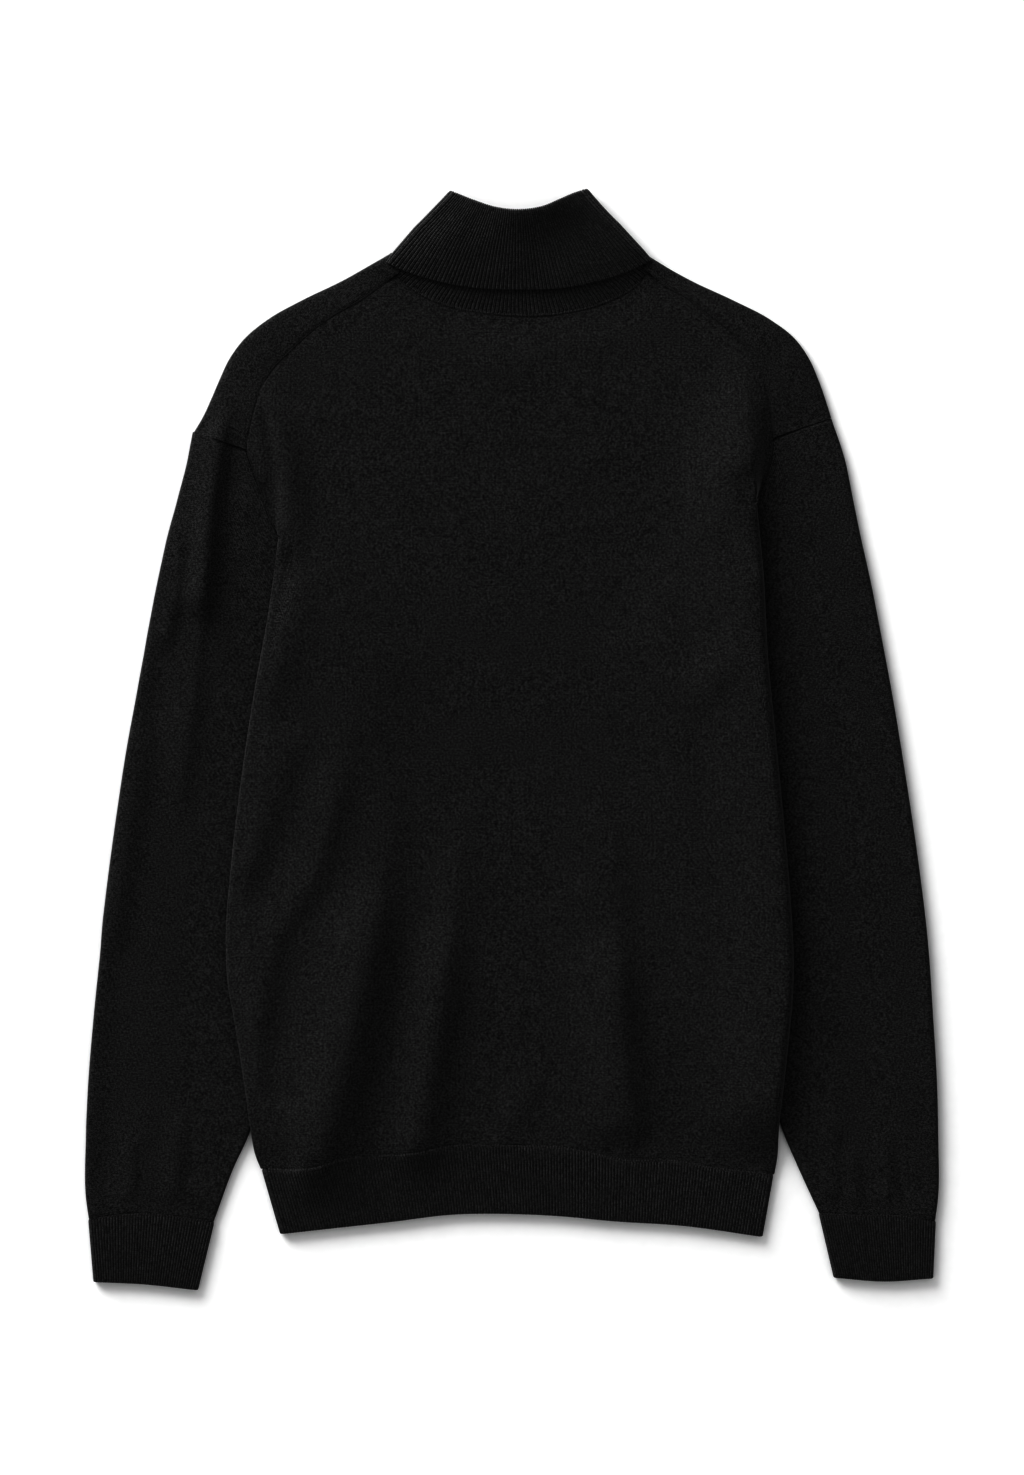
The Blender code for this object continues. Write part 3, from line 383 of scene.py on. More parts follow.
patch = np.arange(12).reshape(3, 4)
print("a patch of 3 by 4 points has", len(rim_edges(np.ones((2, 3), bool), patch, False)), "free edges")


# %% A closed wall of cloth
def make_mesh(name, points, quads, knit):
    """A smooth mesh from points in millimetres, quads, and the knit's map at each corner of each quad."""
    mesh = bpy.data.meshes.new(name)
    mesh.from_pydata((points * MM).tolist(), [], quads.tolist())
    layer = mesh.uv_layers.new(name="knit")
    layer.data.foreach_set("uv", np.ascontiguousarray(knit, dtype=np.float32).ravel())
    mesh.shade_smooth()
    mesh.set_sharp_from_angle(angle=math.radians(70))
    piece = bpy.data.objects.new(name, mesh)
    bpy.context.collection.objects.link(piece)
    return piece


def cloth(name, outer, knit, thickness, wrap=False, turn=1, cells=None):
    """One piece of cloth. outer is the grid of its outer face, in rows down the cloth; knit the stitches
    across and down at each point, with one more column than the grid when it wraps; turn is -1 where the
    columns run the other way round; thickness is one number or one for each point; cells says which cells
    are cloth."""
    rows, columns = outer.shape[:2]
    inner = outer - turn * grid_normals(outer, wrap) * np.broadcast_to(thickness, (rows, columns))[..., None]
    inner[..., 2] = np.abs(inner[..., 2])  # nothing goes through the floor
    number = np.arange(rows * columns).reshape(rows, columns)
    if cells is None:
        cells = np.ones((rows - 1, columns if wrap else columns - 1), bool)
    i, j = np.nonzero(cells)
    after = (j + 1) % columns
    face = np.stack([number[i, j], number[i + 1, j], number[i + 1, after], number[i, after]], axis=1)
    face_map = np.stack([knit[i, j], knit[i + 1, j], knit[i + 1, j + 1], knit[i, j + 1]], axis=1)
    rim = rim_edges(cells, number, wrap)
    flat_map = knit[:, :columns].reshape(-1, 2)
    size = number.size
    joined = np.stack([rim[:, 1], rim[:, 0], rim[:, 0] + size, rim[:, 1] + size], axis=1)
    quads = np.concatenate([face, face[:, ::-1] + size, joined])
    rim_map = flat_map[np.stack([rim[:, 1], rim[:, 0], rim[:, 0], rim[:, 1]], axis=1)]
    maps = np.concatenate([face_map, face_map[:, ::-1], rim_map])
    if turn < 0:
        quads, maps = quads[:, ::-1], maps[:, ::-1]
    points = np.concatenate([outer.reshape(-1, 3), inner.reshape(-1, 3)])
    used, index = np.unique(quads, return_inverse=True)
    return make_mesh(name, points[used], index.reshape(quads.shape), maps)


def told(piece):
    """Prints what a piece is made of and returns it."""
    low, high = np.min(piece.bound_box, axis=0), np.max(piece.bound_box, axis=0)
    print(f"{piece.name}: {2 * len(piece.data.polygons)} triangles, "
          + " x ".join(f"{size / MM:.1f}" for size in high - low) + " mm")
    return piece


print("the knit's map goes to the UV layer knit, and inner faces are", PLAIN, "or", RIB,
      "mm in from outer ones")


# %% Measures along a grid
def run_across(grid, middle, axes=(0, 2)):
    """Length along each row of a grid from its column `middle`, measured in the given axes."""
    step = np.linalg.norm(np.diff(grid[..., list(axes)], axis=1), axis=2)
    run = np.concatenate([np.zeros((len(grid), 1)), np.cumsum(step, axis=1)], axis=1)
    return run - run[:, middle: middle + 1]


def finer_ends(count, length, first=0.35, grow=1.5, both=True):
    """Shares 0 to 1 of a length, close together at the start (and the end), then evenly spread."""
    close = first * np.cumsum(grow ** np.arange(6))
    start = np.concatenate([[0], close]) / length
    end = 1 - start[::-1] if both else np.array([1.0])
    return np.concatenate([start, np.linspace(start[-1], end[0], count)[1:-1], end])


gaps = np.diff(finer_ends(150, SLEEVE_LONG)) * SLEEVE_LONG
print("rows down a sleeve lie", round(gaps[0], 2), "mm apart at its seams and", round(gaps[80], 2),
      "mm further in")


# %% [markdown]
# The layers come next, because a sweater that lies flat is a stack of cloth. The front panel lies on the
# floor and runs up on to the sleeves below the underarms. The back panel lies on the front panel, and its
# two sides are rolled over on top of the sleeves. A simulation or a Shrinkwrap modifier could drop each
# layer on the one below. Heights by formula keep the gaps between the layers as small and even as they
# should be, and nothing cuts through.

# %% How high the layers lie
UNDERARM_Y = 61.0
PARTING_Y, PARTING_SLOPE = -281.0, 30.0  # where a sleeve parts from the body's side, and over what length
HEM_FADE = 46  # length above the hem's seam in which the panels come down from the sleeves
FRONT_LIFT = (105, 67)  # Y where the front begins to rise on to the sleeves, and where it has risen


def over_sleeve(side, x, y, slope=OVER_RAMP - OVER_MARGIN):
    """1 where a body panel lies on the sleeve under its side, sloping to 0 beside it."""
    inner = np.where(y > UNDERARM_Y, x_at(ARMHOLE[side], y), x_at(SLEEVE_INSIDE[side], y))
    return ease((side * (x - inner) + OVER_MARGIN) / slope + 1) * ease((y - HEM_SEAM[0].y) / HEM_FADE)


def body_edge(side, y):
    """X of the body's folded side, held at its upper end above that end."""
    return x_at(BODY_EDGE[side], np.minimum(y, BODY_EDGE[side][0].y))


def front_underside(x, y):
    """The front panel lies on the floor, and rises on to the sleeves below the underarms."""
    begun = ease((FRONT_LIFT[0] - y) / (FRONT_LIFT[0] - FRONT_LIFT[1]))
    return OVER * begun * np.maximum(over_sleeve(-1, x, y), over_sleeve(1, x, y))


print("over the sleeves the front lies", OVER, "mm up,", round(OVER - SLEEVE_TOP, 1), "mm above the sleeve")


# %% [markdown]
# The back's height is what the eye reads, so it gets most of the care. It is a sum: the rest height, the
# folds, small puckers over the hem's seam, a rise beside each shoulder, the slope on to each sleeve, and a
# ramp up to each rolled side. All of it could be sculpted, but a sum can be changed one part at a time, and
# its smallest slopes stay smooth.

# %% Parts of the back's height
LIFT = {-1: (198, 84), 1: (280, 184)}  # Y where each side begins to lie on its sleeve, and where it all does
MEET = {-1: 149, 1: 172}  # Y where each armhole's seam dips under the body's folded side
LIP_RAMP = {-1: 17.0, 1: 62.0}  # how far in from its edge each side begins to rise to its roll
LIP_LOFT = {-1: -2.9, 1: 8.0}  # how much higher or lower than the solid's roll each side stands
LOFT_IN, LOFT_UP, CORNER = 55, 60, 45  # distances from seams, hem and hem corners that keep the cloth down
DIP = 0.3  # how far the back may sink before the layer beneath holds it
SEAM_CALM, RISE_LOW, RISE_FADE = 30, -70, 200  # the rise dies away beside seams, and down the body from Y 130


def softly_above(height, softness=0.8):
    """Height where it is well above 0, and a smooth approach to 0 where it would sink below the layer
    beneath."""
    return softness * np.logaddexp(0, height / softness)


def away_from_ends(x, left, right):
    """0 at the two ends of a band across the garment, and 1 from 33 mm in."""
    return ease(np.minimum(x - left, right - x) / 30 - 0.1)


def puckers(x, y, high=0.45, fade=13):
    """Small gathers just above the hem's seam, where the wider body is sewn to the narrower rib: two products
    of waves, so that no two gathers are alike, times high * exp(-distance / fade)."""
    above = y - y_at(HEM_SEAM, x)
    wave = np.sin(x / 4.3) * np.sin(x / 11.0 + 1.0) + 0.6 * np.sin(x / 2.9 + 2.0) * np.sin(x / 17.0)
    return high * wave * np.exp(-np.maximum(above, 0) / fade) * ease(above / 2)


def sewn_edge():
    """The back panel's sewn edges: up one armhole, over both shoulders and the neck, and down the other."""
    left, right = curve(ARMHOLE[-1], np.linspace(0.3, 0, 5)), curve(ARMHOLE[1], np.linspace(0, 0.25, 5))
    top = [curve(line, np.linspace(0, 1, 9))
           for line in (SHOULDER_SEAM[-1], NECK_BACK, SHOULDER_SEAM[1][::-1])]
    return np.concatenate([left, *top, right])


pucker = puckers(np.linspace(-180, 180, 200), y_at(HEM_SEAM, np.linspace(-180, 180, 200)) + 3)
print("the puckers rise", round(float(pucker.max()), 2), "mm and sink", round(float(-pucker.min()), 2), "mm")


# %% How high the back lies
def shoulder_rise(x, y):
    """Rise of the back away from the fold over each shoulder, rise * (1 - exp(-distance / reach)), and back
    to 0 at the seams of the neck and the sleeves, and down the body."""
    fold = np.minimum(*[beside(curve(SHOULDER_OUTLINE[side], np.linspace(0, 1, 20)), x, y)[0]
                        for side in (-1, 1)])
    sewn_lines = [curve(NECK_BACK, np.linspace(0, 1, 12))]
    sewn_lines += [curve(TOP_SEAM[side], np.linspace(0, 1, 5)) for side in (-1, 1)]
    sewn_lines += [curve(ARMHOLE[side], np.linspace(0, 0.5, 7)) for side in (-1, 1)]
    away = np.minimum.reduce([beside(line, x, y)[0] for line in sewn_lines])
    lower = ease((y - RISE_LOW) / RISE_FADE)
    return SHOULDER_RISE * (1 - np.exp(-fold / RISE_REACH)) * ease(away / SEAM_CALM) * lower


def back_height(x, y):
    """Height of the back panel's outer face: the folds, the rise over the sleeves, and the rise to its
    sides."""
    above_hem = y - y_at(HEM_SEAM, x)
    inside = ease(beside(sewn_edge(), x, y)[0] / LOFT_IN) * ease(above_hem / LOFT_UP)
    rest = BACK_REST + LOFT * inside
    corner = 1 - (1 - away_from_ends(x, HEM_SEAM[0].x, HEM_SEAM[-1].x)) * ease(1 - above_hem / CORNER)
    folds = FOLD_GAIN * fold_height(BODY_FOLDS, x, y) * corner + wobble(x, y, 0.22) + puckers(x, y) + rest
    folds = folds + shoulder_rise(x, y)
    height = BACK_BASE + SOLID_WALL - DIP + softly_above(folds + DIP)
    at_side = LIP_TOP - SOLID_WALL / 2 - BACK_BASE - BACK_REST - OVER + BACK_SINK
    for side, (begins, full) in LIFT.items():
        begun = ease((begins - y) / (begins - full))
        edge = body_edge(side, y)
        near = ease((side * (x - edge) + LIP_RAMP[side]) / (LIP_RAMP[side] - 4))
        # held down beside the armhole
        hold = np.where(y > MEET[side], ease(side * (x_at(ARMHOLE[side], y) - x)
                                             / (2 + 12 * ease((y - MEET[side]) / 30))), 1.0)
        kept = ease((y - PARTING_Y + PARTING_SLOPE) / (2 * PARTING_SLOPE))
        height = height + begun * hold * over_sleeve(side, x, y, BACK_REACH) * (OVER - BACK_SINK)
        height = height + begun * hold * near * (at_side + LIP_LOFT[side]) * kept
    return height


def groove(distance, depth=1.0, width=1.3):
    """How far an edge is drawn down by the seam beside it, at a distance from the seam."""
    return depth * np.exp(-((distance / width) ** 2))


print("the back panel's side stands", round(float(back_height(np.array(184.0), np.array(0.0))), 2), "mm high")


# %% [markdown]
# The back panel is the largest piece. Its columns start along the shoulder seam, the neck and the other
# shoulder seam, and run down to the hem as the wales of the knit do. Its rows lie close together at the
# seams, where the edge is drawn down into the stitching. At each side the cloth rolls over and down to the
# sleeve below it. A plane cut to the outline would be simpler, but its edges would be jagged and its
# stitches would cross the seams askew.

# %% Back panel: its edges
SHOULDER_STEPS, NECK_STEPS, BACK_ROWS = 54, 70, 190
BACK_LONG = 600.0
ROLL = np.radians(np.linspace(12, 200, 12))  # angles of the columns round each rolled side
TIGHTEST_ROLL = 0.9
LIP_START = 0.6  # width of the roll at its upper end


def away_from_neck(line, distance):
    """A line round the neck, moved out from the middle of the neck by a distance."""
    out = line - (np.array(NECK_BACK[0]) + NECK_BACK[-1]) / 2
    return line + out / np.linalg.norm(out, axis=1, keepdims=True) * distance


def back_top():
    """Points of the back panel's top edge: shoulder seam, neck seam, shoulder seam."""
    shares = np.linspace(0, 1, SHOULDER_STEPS)
    neck = away_from_neck(curve(NECK_BACK, np.linspace(0.0, 1.0, NECK_STEPS)), SEAM)
    return np.concatenate([curve(SHOULDER_SEAM[-1], shares), neck, curve(SHOULDER_SEAM[1], shares[::-1])])


def lip_width(side, y):
    """How far in from its edge the body's side begins to roll over."""
    return LIP_START + (LIP_WIDTH[side] - LIP_START) * ease((MEET[side] - y) / 24)


def back_side(side, y):
    """X of the flat part's side: the armhole seam, then the body's edge less its rounded lip."""
    return np.where(y > MEET[side], x_at(ARMHOLE[side], y), body_edge(side, y) - side * lip_width(side, y))


def rolled_side(grid, side, lowest):
    """Columns that roll from the grid's last column over and down to the height lowest, and a little back."""
    rim = grid[:, -1] if side > 0 else grid[:, 0]
    radius = np.maximum((rim[:, 2] - lowest) / 2, TIGHTEST_ROLL)
    reach = side * lip_width(side, rim[:, 1])[:, None] * np.sin(ROLL)
    height = rim[:, 2, None] - radius[:, None] * (1 - np.cos(ROLL))
    columns = np.stack([rim[:, 0, None] + reach, np.broadcast_to(rim[:, 1, None], reach.shape), height],
                       axis=2)
    return np.concatenate([grid, columns] if side > 0 else [columns[:, ::-1], grid], axis=1)


def hem_seam_y(across):
    """Y of the hem's seam at shares 0 to 1 of its width."""
    return y_at(HEM_SEAM, HEM_SEAM[0].x + across * (HEM_SEAM[-1].x - HEM_SEAM[0].x))


print("the top edge of the back has", len(back_top()), "points, and its sides roll", LIP_WIDTH, "mm wide")


# %% Back panel: the piece
def back_panel():
    """Rows from the seams at the top to the hem's seam, x from one side to the other, z from back_height
    less the grooves at the seams, and then the rolled columns at both sides."""
    top = back_top()
    across = (top[:, 0] - top[0, 0]) / (top[-1, 0] - top[0, 0])
    down = finer_ends(BACK_ROWS, BACK_LONG)
    low = hem_seam_y(across) + 0.1
    y = top[:, 1] + (low - top[:, 1]) * down[:, None]
    left, right = back_side(-1, y), back_side(1, y)
    x = left + (right - left) * across
    from_top = beside(top, x, y)[0]
    from_low = y - low
    armholes = [beside(curve(ARMHOLE[side], np.linspace(0, 0.5, 12)), x, y)[0] for side in (-1, 1)]
    from_side = np.minimum(*[np.where(y > MEET[side], away, np.inf) for side, away in zip((-1, 1), armholes)])
    z = (back_height(x, y) - groove(from_top, *EDGE_GROOVE) - groove(from_low, 0.6)
         - groove(from_side, *EDGE_GROOVE))
    grid = np.stack([x, y, z], axis=-1)
    cells = np.ones((len(down) - 1, len(across) - 1), bool)
    for side in (-1, 1):
        rim_y = grid[:, 0 if side < 0 else -1, 1]
        beneath = over_sleeve(side, body_edge(side, rim_y) - side * 3, rim_y)
        grid = rolled_side(grid, side, OVER * beneath + SEAM)
        rolled = np.repeat((rim_y[:-1] <= MEET[side])[:, None], len(ROLL), axis=1)
        cells = np.concatenate([cells, rolled] if side > 0 else [rolled, cells], axis=1)
    knit = np.stack([run_across(grid, len(ROLL) + len(across) // 2) / WALE, -grid[..., 1] / COURSE], axis=-1)
    return cloth("back_knit", grid, knit, PLAIN, cells=cells)


back = told(back_panel())


# %% [markdown]
# The front panel lies under everything, but its shoulders show: this sweater's shoulder seams sit on the
# back, so the front panel comes over the fold of each shoulder and is sewn to the back panel along a
# slanting line. The wales on that flap are the front panel's own, mirrored about the fold, and the map of
# the knit is mirrored with them. The flaps alone would do for a view from above, but the panel is made
# whole, because it shows from below.

# %% Front panel: the flaps over the shoulders
FLAP_STEPS, FRONT_NECK_STEPS, FRONT_ROWS = 44, 34, 84
FLAP_DOWN = np.concatenate([[0, 0.02, 0.045, 0.08, 0.13], np.linspace(0.2, 1, 12)])  # shares, seam to fold
FLAP_START = 0.35  # how far from the seam's line the flap's cloth begins
SHOULDER_TURNS = np.radians(np.linspace(12, 180, 10))  # angles of the rows round the fold
NECK_CORNER = {-1: (-85, 343), 1: (98, 343)}
# where each flap ends, in the collar
FLAP_END = {-1: (Point(-86.5, 351), Point(-80.5, 336.5)), 1: (Point(97, 349.5), Point(95, 338.5))}


def under_turnover(x, y):
    """Rise of the front panel's two neck corners, which lie inside the fold of the collar's turnover."""
    near = np.minimum(*[np.hypot(x - corner[0], y - corner[1]) for corner in NECK_CORNER.values()])
    return 1.5 * ease((19 - near) / 14)


def shoulder_rows(side, shares):
    """Rows of the outer face from the shoulder seam on top, round the fold, to the layer below, with the
    knit's map: a place on the flap is mirrored about the fold, at the same distance from it."""
    fold, seam = [curve(line[side] + [end], shares)
                  for line, end in zip((SHOULDER_OUTLINE, SHOULDER_SEAM), FLAP_END[side])]
    inward = (seam - fold) / np.linalg.norm(seam - fold, axis=1, keepdims=True)
    radius = SHOULDER_FOLD + SOLID_WALL / 2
    centre = fold + inward * radius
    start = seam - inward * FLAP_START
    plan = start + (centre - start) * FLAP_DOWN[:, None, None]
    away = np.linalg.norm(plan - seam, axis=2)
    folds = FOLD_GAIN * fold_height(SLEEVE_FOLDS[side], plan[..., 0], plan[..., 1]) * ease(
        np.linalg.norm(plan - centre, axis=2) / 14)
    z = 2 * radius + folds + wobble(plan[..., 0], plan[..., 1], 0.15) * (1 - FLAP_DOWN[:, None])
    z = z - groove(away, *EDGE_GROOVE) + shoulder_rise(plan[..., 0], plan[..., 1])
    flat = np.concatenate([plan, z[..., None]], axis=2)
    turns = SHOULDER_TURNS[:, None, None]
    rolled = np.concatenate([centre - inward * radius * np.sin(turns),
                             np.broadcast_to(radius * (1 + np.cos(turns)), (len(turns), len(centre), 1))],
                            axis=2)
    rows = np.concatenate([flat, rolled])
    rows[..., 2] += under_turnover(rows[..., 0], rows[..., 1])
    step = np.linalg.norm(np.diff(rows, axis=0), axis=2)
    left = np.concatenate([np.cumsum(step[::-1], axis=0)[::-1], np.zeros((1, len(fold)))])[..., None]
    tangent = np.gradient(fold, axis=0)
    tangent = tangent / np.linalg.norm(tangent, axis=1, keepdims=True)
    mirrored = 2 * (tangent * inward).sum(axis=1, keepdims=True) * tangent - inward
    unfolded = rows[-1, :, :2] + left * mirrored
    return rows, unfolded


flap = shoulder_rows(-1, np.linspace(0, 1, FLAP_STEPS))[0][: len(FLAP_DOWN), :, :2]
print("the left flap is up to", round(float(np.linalg.norm(flap[0] - flap[-1], axis=1).max()), 1), "mm deep")


# %% Front panel: the piece
def front_side(side, y):
    """X of the front panel's side: the armhole, then a run out over the sleeve to the back panel's lip."""
    seam = x_at(ARMHOLE[side], y) - side * (1.0 + 3 * ease((130 - y) / 60))
    rim = body_edge(side, y) - side * (BACK_LIP + SOLID_WALL / 2 + 2)
    return seam + (rim - seam) * ease((UNDERARM_Y - 4 - y) / 100)


def front_panel():
    """The rows of both flaps with empty cells between them for the neck, and below them the rows of the panel
    that lies underneath, from one side to the other and down to the hem's seam."""
    shares = np.linspace(0, 1, FLAP_STEPS)
    (left, left_map), (right, right_map) = shoulder_rows(-1, shares), shoulder_rows(1, shares[::-1])
    neck = away_from_neck(curve(NECK_FRONT, np.linspace(0.045, 0.955, FRONT_NECK_STEPS)), 2.4)
    top = np.concatenate([left[-1, :, :2], neck, right[-1, :, :2]])
    across = (top[:, 0] - top[0, 0]) / (top[-1, 0] - top[0, 0])
    down = np.linspace(0.0245, 1, FRONT_ROWS)[:, None]
    low = hem_seam_y(across) + 3 * SEAM
    y = top[:, 1] + (low - top[:, 1]) * down
    x = front_side(-1, y) + (front_side(1, y) - front_side(-1, y)) * across
    under = np.stack([x, y, front_underside(x, y) + under_turnover(x, y)], axis=-1)
    neck_rows = np.repeat(np.column_stack([neck, np.zeros(len(neck))])[None], len(left), axis=0)
    outer = np.concatenate([np.concatenate([left, neck_rows, right], axis=1), under])
    plan = np.concatenate([np.concatenate([left_map, neck_rows[..., :2], right_map], axis=1), under[..., :2]])
    cells = np.ones((len(outer) - 1, outer.shape[1] - 1), bool)
    cells[: len(left) - 1, FLAP_STEPS - 1: 1 - FLAP_STEPS] = False
    return cloth("front_knit", outer, plan / [WALE, -COURSE], PLAIN, turn=-1, cells=cells)


front = told(front_panel())


# %% [markdown]
# A sleeve is a tube that lies flat. Each of its rings has a wide round fold along the outer edge, a tight
# one along the inner edge, and two layers between them. The rings blend from the slanting armhole to the
# cuff's seam. Under the body's rolled side the sleeve is pressed flat. A cylinder squashed flat would be
# quicker, but both its folds would be alike, and its stitches would not run down the arm.

# %% A flattened tube
def ring_places(top, fold, low):
    """Places round a ring with so many steps on its top, in each fold, and below: 0 to 1 lies across the top,
    1 to 2 round the far fold, 2 to 3 back below, and 3 to 4 round the near fold."""
    steps = [(0, top), (1, fold), (2, low), (3, fold)]
    return np.concatenate([start + np.arange(count) / count for start, count in steps])


def flat_ring(places, top_line, low_line, top_z, low_z, spread):
    """Points of a flattened tube's ring at a distance `spread` from the middle of its wall. The lines give
    plan points for shares 0 to 1 between the centres of its two side folds; top_z and low_z give their
    heights."""
    share = np.where(places <= 1, places, np.clip(3 - places, 0, 1))
    below = places >= 2
    plan = np.where(below[:, None], low_line(share), top_line(share))
    spread = np.broadcast_to(spread, places.shape)
    height = np.where(below, low_z(plan) - spread, top_z(plan) + spread)
    for start, end, beyond in ((1, 1.0, 0.97), (3, 0.0, 0.03)):
        turned = (places > start) & (places < start + 1)
        angle = (places[turned] - start) * math.pi
        angle = math.pi - angle if start == 3 else angle
        centre, back = top_line(np.array([end, beyond]))
        outward = (centre - back) / np.linalg.norm(centre - back)
        high, low = top_z(centre[None])[0], low_z(centre[None])[0]
        radius = (high - low) / 2 + spread[turned]
        plan[turned] = centre + np.outer(radius * np.sin(angle), outward)
        height[turned] = (high + low) / 2 + radius * np.cos(angle)
    return np.column_stack([plan, height])


def level(height):
    """The same height at every plan point."""
    return lambda plan: np.full(len(plan), height)


print("a ring with 58 steps on its top, 9 in each fold and 24 below has",
      len(ring_places(58, 9, 24)), "points")


# %% Sleeves: their shape
SLEEVE_STEPS, SLEEVE_ROWS = (58, 9, 24), 150
SLEEVE_HEAD_Y, SLEEVE_RUN = 222, 567  # Y of the sleeve's upper end, and how far down from it the cuff begins
MOUTH = {side: np.concatenate([curve(TOP_SEAM[side], np.linspace(0, 1, 10))[:-1],
                               curve(ARMHOLE[side], np.linspace(0, 1, 30))]) for side in (-1, 1)}


def puff(down):
    """Radius of the sleeve's outer fold at a share down its length."""
    return SLEEVE_PUFF + SLEEVE_PUFF_MORE * ease(down / 0.16) * ease((1 - down) / 0.13)


def sleeve_line(side, down):
    """Plan points across a sleeve at a share down its length: a Coons patch between the armhole, the two long
    edges and the cuff's seam."""
    mouth_end, cuff_end = along(MOUTH[side], [0.0, 1.0]), curve(CUFF_SEAM[side], [0.0, 1.0])
    outside, inside = curve(SLEEVE_OUTLINE[side], down), curve(SLEEVE_INSIDE[side], down)
    width = np.linalg.norm(inside - outside)
    near, far = puff(down) + SOLID_WALL / 2, SLEEVE_FOLD + SOLID_WALL / 2

    def line(share):
        across = (near + share * (width - near - far)) / width
        mouth = along(MOUTH[side], across) + [side * SEAM, -SEAM]
        cuff = curve(CUFF_SEAM[side], across)
        a = across[:, None]
        corners = (1 - down) * ((1 - a) * mouth_end[0] + a * mouth_end[1])
        corners = corners + down * ((1 - a) * cuff_end[0] + a * cuff_end[1])
        return (1 - a) * outside + a * inside + (1 - down) * mouth + down * cuff - corners

    return line


def sleeve_top(side):
    """Middle of the sleeve's upper layer at plan points: puffed at the outer fold, and level under the body
    and 10 mm beyond its edge. The left sleeve has a shallow trough beside its outer fold."""

    def height(plan):
        x, y = plan[:, 0], plan[:, 1]
        from_fold = side * (x_at(SLEEVE_OUTLINE[side], y) - x)
        high = SOLID_WALL / 2 + 2 * puff((SLEEVE_HEAD_Y - y) / SLEEVE_RUN)
        tilt = (high - SLEEVE_TOP + SOLID_WALL / 2) * np.clip((from_fold - 3) / 80, 0, 1)
        free = high - tilt
        if side < 0:
            free = free - 1.2 * ease((from_fold - 3) / 14) + 1.0 * ease((from_fold - 16) / 34)
        free = (free + FOLD_GAIN * fold_height(SLEEVE_FOLDS[side], x, y)
                + wobble(x, y, 0.2) * ease(from_fold / 12))
        pressed = ease((side * (body_edge(side, y) - x) + 34) / 24)
        pressed = pressed * ease((LIFT[side][0] - y) / 30) * ease((y - PARTING_Y) / PARTING_SLOPE + 1)
        lying = SOLID_WALL / 2 + 2 * SLEEVE_FOLD
        return lying + (np.maximum(free, lying) - lying) * (1 - pressed)

    return height


print("the left sleeve's upper layer is", round(float(sleeve_top(-1)(np.array([[-290.0, -100.0]]))[0]), 1),
      "mm up beside its outer fold")


# %% Sleeves: the pieces
def sleeve(side, name):
    """Rings from the armhole to the cuff's seam, drawn down beside both seams. The map of the knit is
    measured across and down the arm, along a line from the end of the top seam to the cuff."""
    places = ring_places(*SLEEVE_STEPS)
    down = finer_ends(SLEEVE_ROWS, SLEEVE_LONG)
    grid = []
    for share in down:
        line = sleeve_line(side, share)
        grid.append(flat_ring(places, line, line, sleeve_top(side), level(SOLID_WALL / 2), SOLID_WALL / 2))
    grid = np.stack(grid)
    on_top = (places > 3.5) | (places < 1.5)
    depth = 0.5 + 0.4 * ease((0.26 - places) / 0.05)  # deeper along the top seam than along the armhole
    at_cuff = groove((1 - down) * SLEEVE_LONG, 0.35)
    grid[..., 2] -= on_top * (depth * groove(down * SLEEVE_LONG)[:, None] + at_cuff[:, None])
    heading = np.subtract(CUFF_SEAM[side][1], TOP_SEAM[side][-1])
    heading = heading / np.linalg.norm(heading)
    closed = np.concatenate([grid, grid[:, :1]], axis=1)
    across = closed[..., :2] @ [heading[1], -heading[0]]
    knit = np.stack([run_across(np.stack([across, closed[..., 2]], axis=-1), 0, (0, 1)) / WALE,
                     closed[..., :2] @ heading / COURSE], axis=-1)
    return cloth(name, grid, knit, PLAIN, wrap=True, turn=-side)


sleeves = [told(sleeve(-1, "sleeve_knit_left")), told(sleeve(1, "sleeve_knit_right"))]


# %% [markdown]
# The rib pieces are knitted in a one-and-one rib: a raised wale, then a sunken one. Seen from outside that
# is a row of round cords with a dark valley between each two. A bump pattern could draw them, but it would
# leave the piece's ends straight and its outline flat. Here every cord is real: its cross-section is the
# half circle sqrt(1 - s^2), with six points across each rib. The free ends of the cloth are rounded.

# %% Ribs
PER_RIB = 6  # points across one rib
RIB_END = 0.42  # how far a free end of rib has turned in at its last row
SEAM_ROWS, END_ROWS = [0, 0.012, 0.03, 0.06], [0.993, 0.998, 1.0]  # rows near the seam and the free end


def cord(count):
    """Height of a cord across its own width, 0 in the valleys and 1 on the crest, at a place counted in
    ribs."""
    s = 2 * (count % 1.0) - 1
    return np.sqrt(np.maximum(1 - s * s, 0.0))


def rib_spread(count, ribbed):
    """Distance of the outer face from the middle of the solid's wall, where the ribs show and where not."""
    return np.where(ribbed, RIB_SOLID / 2 + RIB_PROUD - RIB_RISE * (1 - cord(count)), RIB_SOLID / 2)


def ring_ribs(places, ribs, in_fold):
    """Ribs counted round a ring: so many across its top and in each of its folds, then on its lower side."""
    start = np.floor(places)
    part = places - start
    sizes = np.array([ribs, in_fold, ribs, in_fold])
    before = np.array([0, ribs, ribs + in_fold, 2 * ribs + in_fold])
    return before[start.astype(int)] + part * sizes[start.astype(int)]


def rib_rows(between):
    """Shares 0 to 1 down a rib piece: close rows at its seam and at its free end, and so many between
    them."""
    return np.concatenate([SEAM_ROWS, np.linspace(0.12, 0.985, between), END_ROWS])


def rounded_end(rows):
    """For each of so many rows, how far the outer face has gone round the free end of the cloth: 0 before it,
    and RIB_END at the last row."""
    turned = np.zeros(rows)
    turned[-4:] = [0.0, 0.25, 0.6, 1.0]
    return turned * RIB_END


